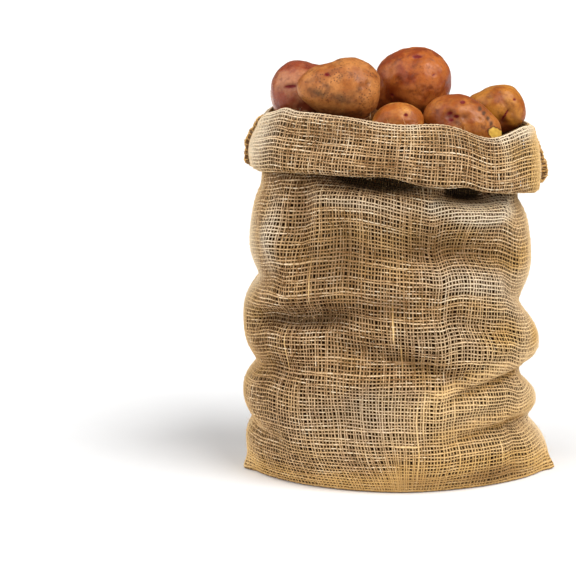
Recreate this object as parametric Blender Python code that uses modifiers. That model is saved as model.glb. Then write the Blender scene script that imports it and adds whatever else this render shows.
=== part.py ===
"""A hessian sack of potatoes, standing open, with its mouth rolled down into a cuff.

The sack is one length of hessian, sewn up both sides and along the bottom. Filled, it takes the shape of a
rounded slab that bulges between creases. Its top edge is turned in and then down, so the cuff is a double
layer, and the seam allowance shows on the cuff's two ends. Under the top potatoes lies the rest of the
filling, one lumpy solid that stands on the sack's bottom.

Metres, +Z up. The origin is on the floor, under the middle of the part's box. +X is the sack's right-hand
side, seen from its front, which faces -Y.
"""

import math
import random
from collections import namedtuple

import bmesh
import bpy
import numpy as np
from mathutils import Euler, Vector
from mathutils.bvhtree import BVHTree

# The cloth. The empty sack is 400 mm wide and 600 mm long, so its mouth is 800 mm round.
CLOTH = 0.002
# The tables below are measured from this point of the floor.
MIDDLE = Vector((-0.0010, 0.0011, 0.0))

# The filled sack's reach from its middle line to each side, with its creases smoothed out. squareness is the
# section's exponent: 2 is an ellipse, more is nearer a rounded oblong, and less is nearer a pillow's ends.
Level = namedtuple("Level", "height left right front back squareness")
LEVELS = (
    Level(0.000, 0.150, 0.152, 0.087, 0.084, 1.75),
    Level(0.012, 0.152, 0.152, 0.093, 0.090, 1.85),
    Level(0.035, 0.154, 0.148, 0.099, 0.096, 2.10),
    Level(0.075, 0.156, 0.141, 0.104, 0.101, 2.25),
    Level(0.130, 0.154, 0.142, 0.106, 0.103, 2.30),
    Level(0.170, 0.154, 0.137, 0.105, 0.103, 2.30),
    Level(0.235, 0.148, 0.131, 0.102, 0.101, 2.30),
    Level(0.290, 0.139, 0.123, 0.096, 0.096, 2.30),
    Level(0.350, 0.125, 0.122, 0.087, 0.087, 2.35),
)

# Round the sack. A turn is a share of the way round from the right-hand seam, by way of the back.
# rim and hem are the heights of the mouth and of the cuff's lower edge. stand_off is how far that edge stands
# off the wall, and swell is how far the cuff's middle bulges.
Station = namedtuple("Station", "turn rim hem stand_off swell")
STATIONS = (
    Station(0.0000, 0.353, 0.284, 0.0130, 0.003),
    Station(0.0625, 0.355, 0.289, 0.0145, 0.003),
    Station(0.1250, 0.359, 0.294, 0.0160, 0.003),
    Station(0.1875, 0.361, 0.298, 0.0170, 0.002),
    Station(0.2500, 0.358, 0.301, 0.0165, 0.004),
    Station(0.3125, 0.361, 0.304, 0.0160, 0.003),
    Station(0.3750, 0.364, 0.305, 0.0150, 0.003),
    Station(0.4375, 0.364, 0.302, 0.0130, 0.004),
    Station(0.5000, 0.362, 0.303, 0.0125, 0.004),
    Station(0.5625, 0.370, 0.311, 0.0140, 0.004),
    Station(0.6250, 0.375, 0.315, 0.0160, 0.003),
    Station(0.6875, 0.369, 0.315, 0.0180, 0.002),
    Station(0.7500, 0.361, 0.307, 0.0190, 0.003),
    Station(0.8125, 0.360, 0.302, 0.0210, 0.004),
    Station(0.8750, 0.346, 0.295, 0.0170, -0.001),
    Station(0.9375, 0.352, 0.288, 0.0160, 0.003),
)

# Each fold runs from 1 through 2 to 3 and dies out at both ends. It draws the cloth in by depth, and above
# and below are how far it spreads up and down. A negative depth is a ridge. The first five are under the
# cuff.
Fold = namedtuple("Fold", "turn_1 height_1 turn_2 height_2 turn_3 height_3 depth above below")
FOLDS = (
    Fold(0.600, 0.312, 0.710, 0.303, 0.800, 0.292, 0.018, 0.030, 0.010),
    Fold(0.800, 0.288, 0.860, 0.284, 0.935, 0.286, 0.020, 0.030, 0.010),
    Fold(0.900, 0.280, 1.030, 0.279, 1.200, 0.290, 0.008, 0.020, 0.012),
    Fold(0.150, 0.292, 0.270, 0.296, 0.420, 0.298, 0.009, 0.020, 0.013),
    Fold(0.400, 0.300, 0.500, 0.292, 0.600, 0.300, 0.004, 0.020, 0.012),
    Fold(0.730, 0.226, 0.840, 0.237, 0.930, 0.216, 0.014, 0.020, 0.013),
    Fold(0.890, 0.206, 0.980, 0.175, 1.130, 0.181, 0.017, 0.024, 0.018),
    Fold(0.400, 0.208, 0.510, 0.200, 0.620, 0.214, 0.014, 0.020, 0.015),
    Fold(0.545, 0.160, 0.655, 0.180, 0.790, 0.168, 0.014, 0.014, 0.013),
    Fold(0.790, 0.182, 0.850, 0.167, 0.920, 0.152, 0.006, 0.011, 0.010),
    Fold(0.780, 0.172, 0.845, 0.150, 0.915, 0.140, -0.004, 0.011, 0.013),
    Fold(0.670, 0.150, 0.760, 0.136, 0.860, 0.103, 0.009, 0.014, 0.012),
    Fold(0.810, 0.101, 0.900, 0.121, 1.060, 0.088, 0.017, 0.010, 0.014),
    Fold(0.930, 0.110, 1.000, 0.096, 1.120, 0.104, 0.013, 0.014, 0.013),
    Fold(0.780, 0.052, 0.885, 0.073, 0.985, 0.058, 0.012, 0.014, 0.011),
    Fold(0.900, 0.062, 1.000, 0.052, 1.130, 0.060, 0.015, 0.013, 0.015),
    Fold(0.380, 0.106, 0.500, 0.112, 0.660, 0.124, 0.013, 0.016, 0.012),
    Fold(0.390, 0.056, 0.500, 0.055, 0.620, 0.044, 0.011, 0.013, 0.010),
    Fold(0.090, 0.220, 0.240, 0.230, 0.420, 0.206, 0.009, 0.018, 0.011),
    Fold(0.130, 0.172, 0.280, 0.160, 0.410, 0.170, 0.007, 0.014, 0.010),
    Fold(0.030, 0.106, 0.190, 0.124, 0.350, 0.110, 0.011, 0.014, 0.012),
    Fold(0.070, 0.056, 0.230, 0.062, 0.420, 0.050, 0.009, 0.014, 0.010),
)
FOLD_FADE = 0.022  # the folds die out over this height under the rim

# Hollows pressed into the cloth. One with a negative depth is a lump, where a potato pushes it out.
# turn and height are its centre, and tilt lifts its right-hand end.
Dent = namedtuple("Dent", "turn height half_length half_height tilt depth")
DENTS = (
    Dent(0.633, 0.276, 0.013, 0.036, 0.0, 0.007),
    Dent(0.694, 0.246, 0.016, 0.026, 0.0, 0.006),
    Dent(0.812, 0.278, 0.006, 0.015, -1.5, 0.004),
    Dent(0.595, 0.250, 0.020, 0.024, 0.0, -0.004),
    Dent(0.735, 0.276, 0.045, 0.020, 0.0, -0.004),
    Dent(0.800, 0.285, 0.012, 0.014, 0.0, -0.005),
    Dent(0.820, 0.212, 0.065, 0.015, 0.0, -0.005),
    Dent(0.790, 0.150, 0.030, 0.012, -0.6, -0.003),
    Dent(0.728, 0.112, 0.045, 0.013, 0.0, -0.005),
    Dent(0.695, 0.076, 0.026, 0.022, 0.3, 0.006),
    Dent(0.870, 0.096, 0.034, 0.011, 0.3, -0.004),
    Dent(0.800, 0.036, 0.035, 0.020, 0.1, -0.003),
    Dent(0.905, 0.030, 0.010, 0.026, 1.2, 0.005),
    Dent(0.310, 0.258, 0.045, 0.022, -0.2, -0.005),
    Dent(0.190, 0.250, 0.026, 0.030, 0.4, 0.007),
    Dent(0.245, 0.142, 0.050, 0.018, 0.1, -0.005),
    Dent(0.355, 0.140, 0.022, 0.026, -0.3, 0.006),
    Dent(0.150, 0.084, 0.040, 0.018, 0.2, -0.004),
    Dent(0.300, 0.034, 0.030, 0.022, 0.0, 0.005),
)

# The bottom corners stand out as ears where the bottom seam ends, a little to the front of the side seams.
EAR_TURNS = (0.974, 0.526)
EAR_LENGTH = 0.008
EAR_TURN = 0.012
EAR_HEIGHT = 0.011

# The cuff, from the wall outwards.
RIM_BEND = 0.0058  # radius of the bend at the mouth
HEM_BEND = 0.0045  # radius of the bend at the cuff's lower edge
TURNED_IN = 0.034  # how far the hidden layer goes back up inside the cuff
SEAM_RAISE = 0.0065  # how far the seam allowance stands up on the cuff's ends, at its lower edge
SEAM_TOP_SHARE = 0.3  # and its share of that at the mouth
SEAM_GROOVE = 0.0012  # and how far the side seam draws the wall in
SEAM_HALF = 0.0045  # half the width of the seam, as a share of a turn

# The mesh: columns round the sack and rows along its length.
COLUMNS = 56
SEAM_TURNS = (0.0, 0.5)
BASE_ROWS = (0.0, 0.5, 0.86)  # shares of the way from the bottom seam to the floor edge
WALL_ROWS = 30
FOOT_ROWS = (0.0, 0.013, 0.034)  # the lowest rows, as shares of the wall's height
RIM_ROWS = 4
CUFF_ROWS = 5
HEM_ROWS = 3
HIDDEN_ROWS = 2

# The filling: loose potatoes at the mouth, which lie on the heap and on each other.
GAP = 0.0008
# dip is how deep a saddle crosses the potato's top, a little towards its thin end.
Potato = namedtuple("Potato", "name length depth height taper dip x y z yaw roll seed")
POTATOES = (
    Potato("potato_back_left", 0.070, 0.048, 0.048, -0.08, 0.0, -0.046, 0.051, 0.338, 172, 5, 71),
    Potato("potato_back_right", 0.064, 0.044, 0.044, 0.10, 0.0, 0.047, 0.051, 0.335, 8, -4, 83),
    Potato("potato_small", 0.052, 0.042, 0.044, 0.05, 0.0, 0.000, -0.055, 0.357, 10, 0, 11),
    Potato("potato_front_right", 0.080, 0.052, 0.057, -0.10, 0.0, 0.062, -0.040, 0.353, -6, 20, 23),
    Potato("potato_right", 0.062, 0.050, 0.048, 0.10, 0.0, 0.0940, 0.014, 0.365, 12, -16, 53),
    Potato("potato_left", 0.061, 0.066, 0.068, 0.00, 0.0, -0.0965, 0.012, 0.379, 12, -14, 47),
    Potato("potato_big", 0.080, 0.070, 0.076, 0.10, 0.0, 0.014, 0.015, 0.389, -20, 6, 67),
    Potato("potato_front_left", 0.080, 0.060, 0.060, 0.22, 0.0035, -0.056, -0.040, 0.390, 6, 4, 31),
)
DIP_PLACE = -0.30
DIP_HALF = 0.24
LUMPS_EACH = 7
LUMP_HEIGHT = 0.055
POTATO_DETAIL = 3

# The rest of the filling is one solid. Its top is the tops of the potatoes in it.
FILL_CLEAR = 0.0042  # between the filling and the middle of the cloth
FILL_COLUMNS = 36
FILL_TOP_RINGS = (0.93, 0.80, 0.64, 0.48, 0.32, 0.16)
FILL_LEVEL = 0.304
Lump = namedtuple("Lump", "x y radius top")
LUMPS = (
    Lump(-0.096, 0.010, 0.046, 0.344),
    Lump(-0.080, -0.044, 0.036, 0.346),
    Lump(-0.054, -0.044, 0.028, 0.358),
    Lump(0.002, -0.050, 0.034, 0.334),
    Lump(0.056, -0.042, 0.044, 0.326),
    Lump(0.092, 0.018, 0.044, 0.340),
    Lump(0.014, 0.006, 0.038, 0.351),
    Lump(-0.046, 0.046, 0.042, 0.315),
    Lump(0.050, 0.052, 0.042, 0.310),
    Lump(-0.004, 0.066, 0.030, 0.320),
)

HESSIAN = ((0.56, 0.39, 0.19), 0.92)
SKIN = ((0.45, 0.20, 0.09), 0.55)
DARK_SKIN = ((0.20, 0.10, 0.05), 0.75)


def clear_scene():
    for old in list(bpy.data.objects):
        bpy.data.objects.remove(old, do_unlink=True)


def material(name, finish):
    colour, roughness = finish
    made = bpy.data.materials.new(name)
    made.use_nodes = True
    shader = made.node_tree.nodes["Principled BSDF"]
    shader.inputs["Base Color"].default_value = (*colour, 1.0)
    shader.inputs["Roughness"].default_value = roughness
    shader.inputs["Metallic"].default_value = 0.0
    made.diffuse_color = (*colour, 1.0)
    return made


def around(column, turn):
    """The value of one of the stations' columns at a share of a turn, on a closed curve through them."""
    values = [getattr(station, column) for station in STATIONS]
    count = len(values)
    place = (turn % 1.0) * count
    station = int(place)
    t = place - station
    before, here, after, beyond = (values[(station + k) % count] for k in (-1, 0, 1, 2))
    cubic = 3.0 * (here - after) + beyond - before
    square = 2.0 * before - 5.0 * here + 4.0 * after - beyond
    return here + 0.5 * t * (after - before + t * (square + t * cubic))


def reach(side, height):
    """How far the sack reaches to one side at a height, smoothly through the levels."""
    heights = [level.height for level in LEVELS]
    values = [getattr(level, side) for level in LEVELS]
    slopes = np.gradient(values, heights)
    height = min(max(height, heights[0]), heights[-1])
    i = min(np.searchsorted(heights, height, side="right") - 1, len(heights) - 2)
    step = heights[i + 1] - heights[i]
    t = (height - heights[i]) / step
    swing = values[i + 1] - values[i]
    a = slopes[i] * step - swing
    b = swing - slopes[i + 1] * step
    return float(values[i] + t * swing + t * (1.0 - t) * (a * (1.0 - t) + b * t))


def turn_angles():
    """The angles of points spread evenly round the middle section, and each one's share of a turn."""
    angles = np.linspace(0.0, 2.0 * math.pi, 721)
    power = 2.0 / reach("squareness", 0.17)
    across = 0.5 * (reach("left", 0.17) + reach("right", 0.17)) * np.abs(np.cos(angles)) ** power
    along = 0.5 * (reach("front", 0.17) + reach("back", 0.17)) * np.abs(np.sin(angles)) ** power
    x, y = across * np.sign(np.cos(angles)), along * np.sign(np.sin(angles))
    lengths = np.concatenate([[0.0], np.cumsum(np.hypot(np.diff(x), np.diff(y)))])
    return angles, lengths / lengths[-1]


ANGLES, SHARES = turn_angles()
GIRTH = 0.80


def angle_of(turn):
    return float(np.interp(turn % 1.0, SHARES, ANGLES))


def turns_away(turn, places):
    """The share of a turn to the nearest of some places round the sack."""
    return min(abs(((turn - place + 0.5) % 1.0) - 0.5) for place in places)


def near_seam(turn):
    """1 on a side seam, falling to 0 at its edge."""
    return max(0.0, 1.0 - turns_away(turn, SEAM_TURNS) / SEAM_HALF)


def fold_depth(fold, turn, height):
    """How far one fold draws the wall in."""
    turn = fold.turn_1 + (turn - fold.turn_1) % 1.0
    if turn >= fold.turn_3:
        return 0.0
    to_1, to_2, to_3 = turn - fold.turn_1, turn - fold.turn_2, turn - fold.turn_3
    first, last = fold.turn_2 - fold.turn_1, fold.turn_3 - fold.turn_2
    path = fold.height_1 * to_2 * to_3 / (first * (first + last))
    path -= fold.height_2 * to_1 * to_3 / (first * last)
    path += fold.height_3 * to_1 * to_2 / (last * (first + last))
    away = abs(height - path) / (fold.above if height > path else fold.below)
    share = to_1 / (first + last)
    return fold.depth * math.sin(math.pi * share) ** 0.7 * math.exp(-(away**1.6))


def dent_depth(dent, turn, height):
    along = (((turn - dent.turn + 0.5) % 1.0) - 0.5) * GIRTH
    up = height - dent.height - dent.tilt * along
    return dent.depth * math.exp(-((along / dent.half_length) ** 2) - (up / dent.half_height) ** 2)


def drawn_in(turn, height):
    """How far the folds, dents and side seams draw the wall in from its smooth reach."""
    depth = sum(fold_depth(fold, turn, height) for fold in FOLDS)
    depth += sum(dent_depth(dent, turn, height) for dent in DENTS)
    fade = min(1.0, max(0.0, (around("rim", turn) - height) / FOLD_FADE))
    foot = min(1.0, height / EAR_HEIGHT)
    return (depth * fade + SEAM_GROOVE * near_seam(turn)) * foot


def ear(turn, height):
    away = turns_away(turn, EAR_TURNS)
    return EAR_LENGTH * math.exp(-((away / EAR_TURN) ** 2) - (height / EAR_HEIGHT) ** 2)


def section_point(turn, height, out, inward=1.0):
    """A point of the sack's section at a height, moved out by a distance. Under the sack, inward is the share
    of the way from the bottom seam to the floor edge."""
    angle = angle_of(turn)
    power = 2.0 / reach("squareness", height)
    left, right = reach("left", height), reach("right", height)
    front, back = reach("front", height), reach("back", height)
    half_width = 0.5 * (left + right) + out
    half_depth = (0.5 * (front + back) + out) * inward
    x = math.copysign(abs(math.cos(angle)) ** power, math.cos(angle))
    y = math.copysign(abs(math.sin(angle)) ** power, math.sin(angle))
    return Vector((0.5 * (right - left) + half_width * x, 0.5 * (back - front) + half_depth * y, height))


def wall_point(turn, height):
    return section_point(turn, height, ear(turn, height) - drawn_in(turn, height))


# The bottom seam is straight and runs out to the tips of the two ears.
BOTTOM_SEAM = wall_point(EAR_TURNS[0], 0.0).y


def wall_shares():
    """The wall's rows, as shares of the height from the floor to the bend at the mouth."""
    even = np.linspace(FOOT_ROWS[-1], 1.0, WALL_ROWS - len(FOOT_ROWS) + 1)
    return [*FOOT_ROWS, *even[1:]]


def cloth_section(turn):
    """The middle of the cloth at one place round the sack, from the bottom seam to its hidden top edge."""
    rim, hem = around("rim", turn), around("hem", turn)
    stand_off, swell = around("stand_off", turn), around("swell", turn)
    floor = CLOTH / 2
    raised = SEAM_RAISE * near_seam(turn)
    points = []
    edge = wall_point(turn, 0.0)
    for share in BASE_ROWS:
        points.append(Vector((edge.x, BOTTOM_SEAM + (edge.y - BOTTOM_SEAM) * share, floor)))
    bend_height = rim - RIM_BEND
    for share in wall_shares():
        point = wall_point(turn, share * bend_height)
        point.z += floor * (1.0 - share)
        points.append(point)
    for row in range(1, RIM_ROWS):
        bend = math.pi * row / RIM_ROWS
        out = RIM_BEND * (1.0 - math.cos(bend))
        point = section_point(turn, bend_height, out + raised * SEAM_TOP_SHARE * row / RIM_ROWS)
        point.z = bend_height + RIM_BEND * math.sin(bend)
        points.append(point)
    for row in range(CUFF_ROWS + 1):
        share = row / CUFF_ROWS
        height = bend_height + (hem + HEM_BEND - bend_height) * share
        out = 2.0 * RIM_BEND + (stand_off - 2.0 * RIM_BEND) * share + swell * math.sin(math.pi * share)
        standing = raised * (SEAM_TOP_SHARE + (1.0 - SEAM_TOP_SHARE) * share)
        points.append(section_point(turn, height, out + standing))
    for row in range(1, HEM_ROWS):
        bend = math.pi * row / HEM_ROWS
        out = stand_off - HEM_BEND * (1.0 - math.cos(bend))
        point = section_point(turn, hem + HEM_BEND, out + raised * (1.0 - row / HEM_ROWS))
        point.z = hem + HEM_BEND * (1.0 - math.sin(bend))
        points.append(point)
    for row in range(HIDDEN_ROWS + 1):
        height = hem + HEM_BEND + (TURNED_IN - HEM_BEND) * row / HIDDEN_ROWS
        points.append(section_point(turn, height, stand_off - 2.0 * HEM_BEND))
    return points


def column_turns():
    """Shares of a turn for the mesh's columns: even ones, one at each ear, and a pair beside each seam."""
    turns = [column / COLUMNS for column in range(COLUMNS)] + list(EAR_TURNS)
    turns += [(seam + side * SEAM_HALF) % 1.0 for seam in SEAM_TURNS for side in (-1.0, 1.0)]
    return sorted(turns)


def wrapped_grid(name, rows):
    """A tube: a flat grid is bent round, each row of points becoming one ring, and its edges are joined."""
    count, around_count = len(rows), len(rows[0])
    mesh = bpy.data.meshes.new(name)
    build = bmesh.new()
    made = bmesh.ops.create_grid(build, x_segments=around_count, y_segments=count - 1, size=0.5)
    places = sorted(made["verts"], key=lambda v: (round(v.co.y, 6), round(v.co.x, 6)))
    for index, vertex in enumerate(places):
        row, column = divmod(index, around_count + 1)
        vertex.co = rows[row][column % around_count]
    bmesh.ops.remove_doubles(build, verts=build.verts, dist=1e-6)
    return mesh, build


def add_object(name, mesh, collection, finish):
    obj = bpy.data.objects.new(name, mesh)
    collection.objects.link(obj)
    obj.data.materials.append(finish)
    return obj


def finish_mesh(build, mesh, sharp=40.0):
    bmesh.ops.recalc_face_normals(build, faces=build.faces)
    build.to_mesh(mesh)
    build.free()
    mesh.shade_smooth()
    mesh.set_sharp_from_angle(angle=math.radians(sharp))


def make_sack(collection, finish):
    """The cloth: an open sheet along its middle surface, given its thickness by Solidify."""
    columns = [cloth_section(turn) for turn in column_turns()]
    rows = [[MIDDLE + column[row] for column in columns] for row in range(len(columns[0]))]
    mesh, build = wrapped_grid("sack", rows)
    finish_mesh(build, mesh, sharp=60.0)
    sack = add_object("sack", mesh, collection, finish)
    thick = sack.modifiers.new("cloth thickness", "SOLIDIFY")
    thick.thickness = CLOTH
    thick.offset = 0.0
    return sack


def fill_height(x, y):
    """The top of the heap: the highest of the potatoes that lie there."""
    top = FILL_LEVEL
    for lump in LUMPS:
        away = ((x - lump.x) ** 2 + (y - lump.y) ** 2) / lump.radius**2
        if away < 1.0:
            top = max(top, lump.top - lump.radius * 0.75 * (1.0 - math.sqrt(1.0 - away)))
    return top


def make_fill(collection, finish):
    """The hidden filling: its side follows the inside of the cloth, and its top is lumpy."""
    turns = [column / FILL_COLUMNS for column in range(FILL_COLUMNS)]
    lowest_rim = min(station.rim for station in STATIONS)
    shares = [share for share in wall_shares() if share * lowest_rim < FILL_LEVEL]
    bottom = CLOTH + GAP
    rows = []
    for inward in (0.0, 0.5, 0.9):
        ring = [section_point(turn, 0.0, -FILL_CLEAR, inward) for turn in turns]
        rows.append([Vector((p.x, p.y, bottom)) for p in ring])
    for share in shares:
        ring = []
        for turn in turns:
            height = share * (around("rim", turn) - RIM_BEND)
            point = section_point(turn, height, -FILL_CLEAR - drawn_in(turn, height))
            point.z = max(height, bottom)
            ring.append(point)
        rows.append(ring)
    edge = rows[-1]
    centre = sum(edge, Vector()) / len(edge)
    for inward in FILL_TOP_RINGS:
        ring = [centre.lerp(point, inward) for point in edge]
        rows.append([Vector((p.x, p.y, fill_height(p.x, p.y))) for p in ring])
    rows = [[MIDDLE + point for point in row] for row in rows]
    mesh, build = wrapped_grid("potato_fill", rows)
    open_edges = [edge for edge in build.edges if edge.is_boundary]
    bmesh.ops.contextual_create(build, geom=open_edges)
    caps = [face for face in build.faces if len(face.verts) > 4]
    bmesh.ops.poke(build, faces=caps)
    finish_mesh(build, mesh, sharp=30.0)
    return add_object("potato_fill", mesh, collection, finish)


def make_potato(kind, collection, finish):
    """A potato: a ball drawn out to its three sizes, thicker at one end, with a few shallow lumps."""
    rng = random.Random(kind.seed)
    lumps = []
    for _ in range(LUMPS_EACH):
        way = Vector((rng.uniform(-1, 1), rng.uniform(-1, 1), rng.uniform(-1, 1))).normalized()
        lumps.append((way, rng.uniform(-1.0, 1.0) * LUMP_HEIGHT, rng.uniform(0.45, 0.85)))
    mesh = bpy.data.meshes.new(kind.name)
    build = bmesh.new()
    bmesh.ops.create_icosphere(build, subdivisions=POTATO_DETAIL, radius=1.0)
    half = Vector((kind.length, kind.depth, kind.height)) / 2
    for vertex in build.verts:
        way = vertex.co.normalized()
        swell = sum(tall * math.exp(-((way.angle(lump) / wide) ** 2)) for lump, tall, wide in lumps)
        thick = 1.0 + kind.taper * way.x
        shape = Vector((way.x * half.x, way.y * half.y * thick, way.z * half.z * thick)) * (1.0 + swell)
        saddle = kind.dip * math.exp(-(((way.x - DIP_PLACE) / DIP_HALF) ** 2)) * max(0.0, way.z)
        vertex.co = shape - Vector((0.0, 0.0, saddle))
    finish_mesh(build, mesh, sharp=80.0)
    potato = add_object(kind.name, mesh, collection, finish)
    potato.location = MIDDLE + Vector((kind.x, kind.y, kind.z))
    potato.rotation_euler = Euler((0.0, math.radians(kind.roll), math.radians(kind.yaw)))
    return potato


def world_mesh(obj):
    """The object's points and triangles in the world, modifiers included."""
    bpy.context.view_layer.update()
    seen = obj.evaluated_get(bpy.context.evaluated_depsgraph_get())
    mesh = seen.to_mesh()
    mesh.calc_loop_triangles()
    points = [seen.matrix_world @ vertex.co for vertex in mesh.vertices]
    faces = [tuple(triangle.vertices) for triangle in mesh.loop_triangles]
    seen.to_mesh_clear()
    return points, faces


def fall_to_rest(potato, others):
    """How far the potato can sink straight down before it meets what lies under it."""
    points, faces = world_mesh(potato)
    own = BVHTree.FromPolygons(points, faces)
    down, up = Vector((0, 0, -1)), Vector((0, 0, 1))
    room = []
    for other in others:
        other_points, other_faces = world_mesh(other)
        tree = BVHTree.FromPolygons(other_points, other_faces)
        hits = [tree.ray_cast(point, down)[3] for point in points]
        hits += [own.ray_cast(point, up)[3] for point in other_points]
        room += [hit for hit in hits if hit is not None]
    return min(room) - GAP


def lay_potatoes(potatoes, fill):
    """Each potato is let down from well above its place until it lies on the heap or on another."""
    laid = [fill]
    for kind, potato in zip(POTATOES, potatoes, strict=True):
        lift = 0.12
        potato.location.z += lift
        sunk = fall_to_rest(potato, laid)
        potato.location.z -= sunk
        print(f"{kind.name}: wanted z {kind.z:.4f}, lies at {potato.location.z:.4f}")
        laid.append(potato)


def main():
    clear_scene()
    collection = bpy.data.collections.new("hessian_sack")
    bpy.context.scene.collection.children.link(collection)
    hessian = material("hessian", HESSIAN)
    skin = material("potato_skin", SKIN)
    dark_skin = material("potato_fill", DARK_SKIN)
    make_sack(collection, hessian)
    fill = make_fill(collection, dark_skin)
    potatoes = [make_potato(kind, collection, skin) for kind in POTATOES]
    lay_potatoes(potatoes, fill)


main()
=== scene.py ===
"""Dresses the sack of potatoes: hessian woven yarn by yarn, sewn seams, stray fibres and potato skins.

The cloth's middle surface follows the same kind of tables as the solid sack: levels, stations, folds, dents.
The weave lies where the solid cloth lies, but for finer creases, and for two folds and parts of the mouth
and the cuff, which stand some millimetres away. Each potato is its solid, made finer, its eyes pressed in.
"""

import math
from collections import namedtuple
import bmesh
import bpy
import numpy as np
from bpy.props import FloatProperty, FloatVectorProperty, IntProperty, PointerProperty
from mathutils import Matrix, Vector


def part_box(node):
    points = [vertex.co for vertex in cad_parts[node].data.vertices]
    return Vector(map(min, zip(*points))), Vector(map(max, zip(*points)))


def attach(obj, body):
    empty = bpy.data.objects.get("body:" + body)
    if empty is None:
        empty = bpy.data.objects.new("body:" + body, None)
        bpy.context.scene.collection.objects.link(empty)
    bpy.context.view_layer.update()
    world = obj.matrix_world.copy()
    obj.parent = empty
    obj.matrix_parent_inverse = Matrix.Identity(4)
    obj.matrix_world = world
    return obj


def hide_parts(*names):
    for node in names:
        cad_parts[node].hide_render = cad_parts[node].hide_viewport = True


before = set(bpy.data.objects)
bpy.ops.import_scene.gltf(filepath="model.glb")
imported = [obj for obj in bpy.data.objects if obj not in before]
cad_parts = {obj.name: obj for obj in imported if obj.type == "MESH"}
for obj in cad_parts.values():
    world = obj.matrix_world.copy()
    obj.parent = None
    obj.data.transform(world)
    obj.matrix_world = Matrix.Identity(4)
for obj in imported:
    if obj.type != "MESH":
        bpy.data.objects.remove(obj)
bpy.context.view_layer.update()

bl_info = {
    "name": "Hessian Sack",
    "version": (1, 0, 0),
    "blender": (4, 5, 0),
    "location": "3D View > Sidebar > Sack",
    "description": "Weaves and sews the hessian of a sack of potatoes, and finishes the potatoes in it",
    "category": "Mesh",
}

# ---------------- the cloth's middle surface, in metres

CLOTH = 0.002  # thickness of the solid cloth
MIDDLE = np.array((-0.0010, 0.0011, 0.0))  # the tables below are measured from this point of the floor
GIRTH = 0.80  # length once round the sack
MID_HEIGHT = 0.170  # turns are spread evenly round the section at this height
ANGLE_STEPS = 721

Level = namedtuple("Level", "height left right front back squareness")
LEVELS = (
    Level(0.000, 0.150, 0.152, 0.087, 0.084, 1.75),
    Level(0.012, 0.152, 0.152, 0.093, 0.090, 1.85),
    Level(0.035, 0.154, 0.148, 0.099, 0.096, 2.10),
    Level(0.075, 0.156, 0.141, 0.104, 0.101, 2.25),
    Level(0.130, 0.154, 0.142, 0.106, 0.103, 2.30),
    Level(0.170, 0.154, 0.137, 0.105, 0.103, 2.30),
    Level(0.235, 0.148, 0.131, 0.102, 0.101, 2.30),
    Level(0.290, 0.139, 0.123, 0.096, 0.096, 2.30),
    Level(0.350, 0.125, 0.122, 0.087, 0.087, 2.35),
)

# A turn is a share of the way round from the right-hand side seam, by way of the back.
Station = namedtuple("Station", "turn rim hem stand_off swell")
STATIONS = (
    Station(0.0000, 0.349, 0.284, 0.0165, 0.003),
    Station(0.0625, 0.350, 0.289, 0.0155, 0.003),
    Station(0.1250, 0.356, 0.294, 0.0160, 0.003),
    Station(0.1875, 0.361, 0.298, 0.0170, 0.002),
    Station(0.2500, 0.358, 0.301, 0.0165, 0.004),
    Station(0.3125, 0.361, 0.304, 0.0160, 0.003),
    Station(0.3750, 0.364, 0.305, 0.0150, 0.003),
    Station(0.4375, 0.364, 0.302, 0.0130, 0.004),
    Station(0.5000, 0.355, 0.310, 0.0110, 0.004),
    Station(0.5625, 0.3665, 0.311, 0.0140, 0.004),
    Station(0.6250, 0.3705, 0.315, 0.0160, 0.003),
    Station(0.6875, 0.3675, 0.315, 0.0180, 0.002),
    Station(0.7500, 0.361, 0.310, 0.0190, 0.003),
    Station(0.8125, 0.360, 0.303, 0.0210, 0.004),
    Station(0.8750, 0.346, 0.296, 0.0170, -0.001),
    Station(0.9375, 0.352, 0.290, 0.0160, 0.003),
)
# Short stretches where the mouth or the cuff's lower edge arches up.
Arch = namedtuple("Arch", "turn half_length rise")
RIM_ARCHES = (Arch(0.597, 0.013, 0.0035),)
HEM_ARCHES = (
    Arch(0.838, 0.015, 0.0035),
    Arch(0.745, 0.022, 0.0035),
    Arch(0.330, 0.020, 0.0025),
    Arch(0.000, 0.010, 0.0060),
)

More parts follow.
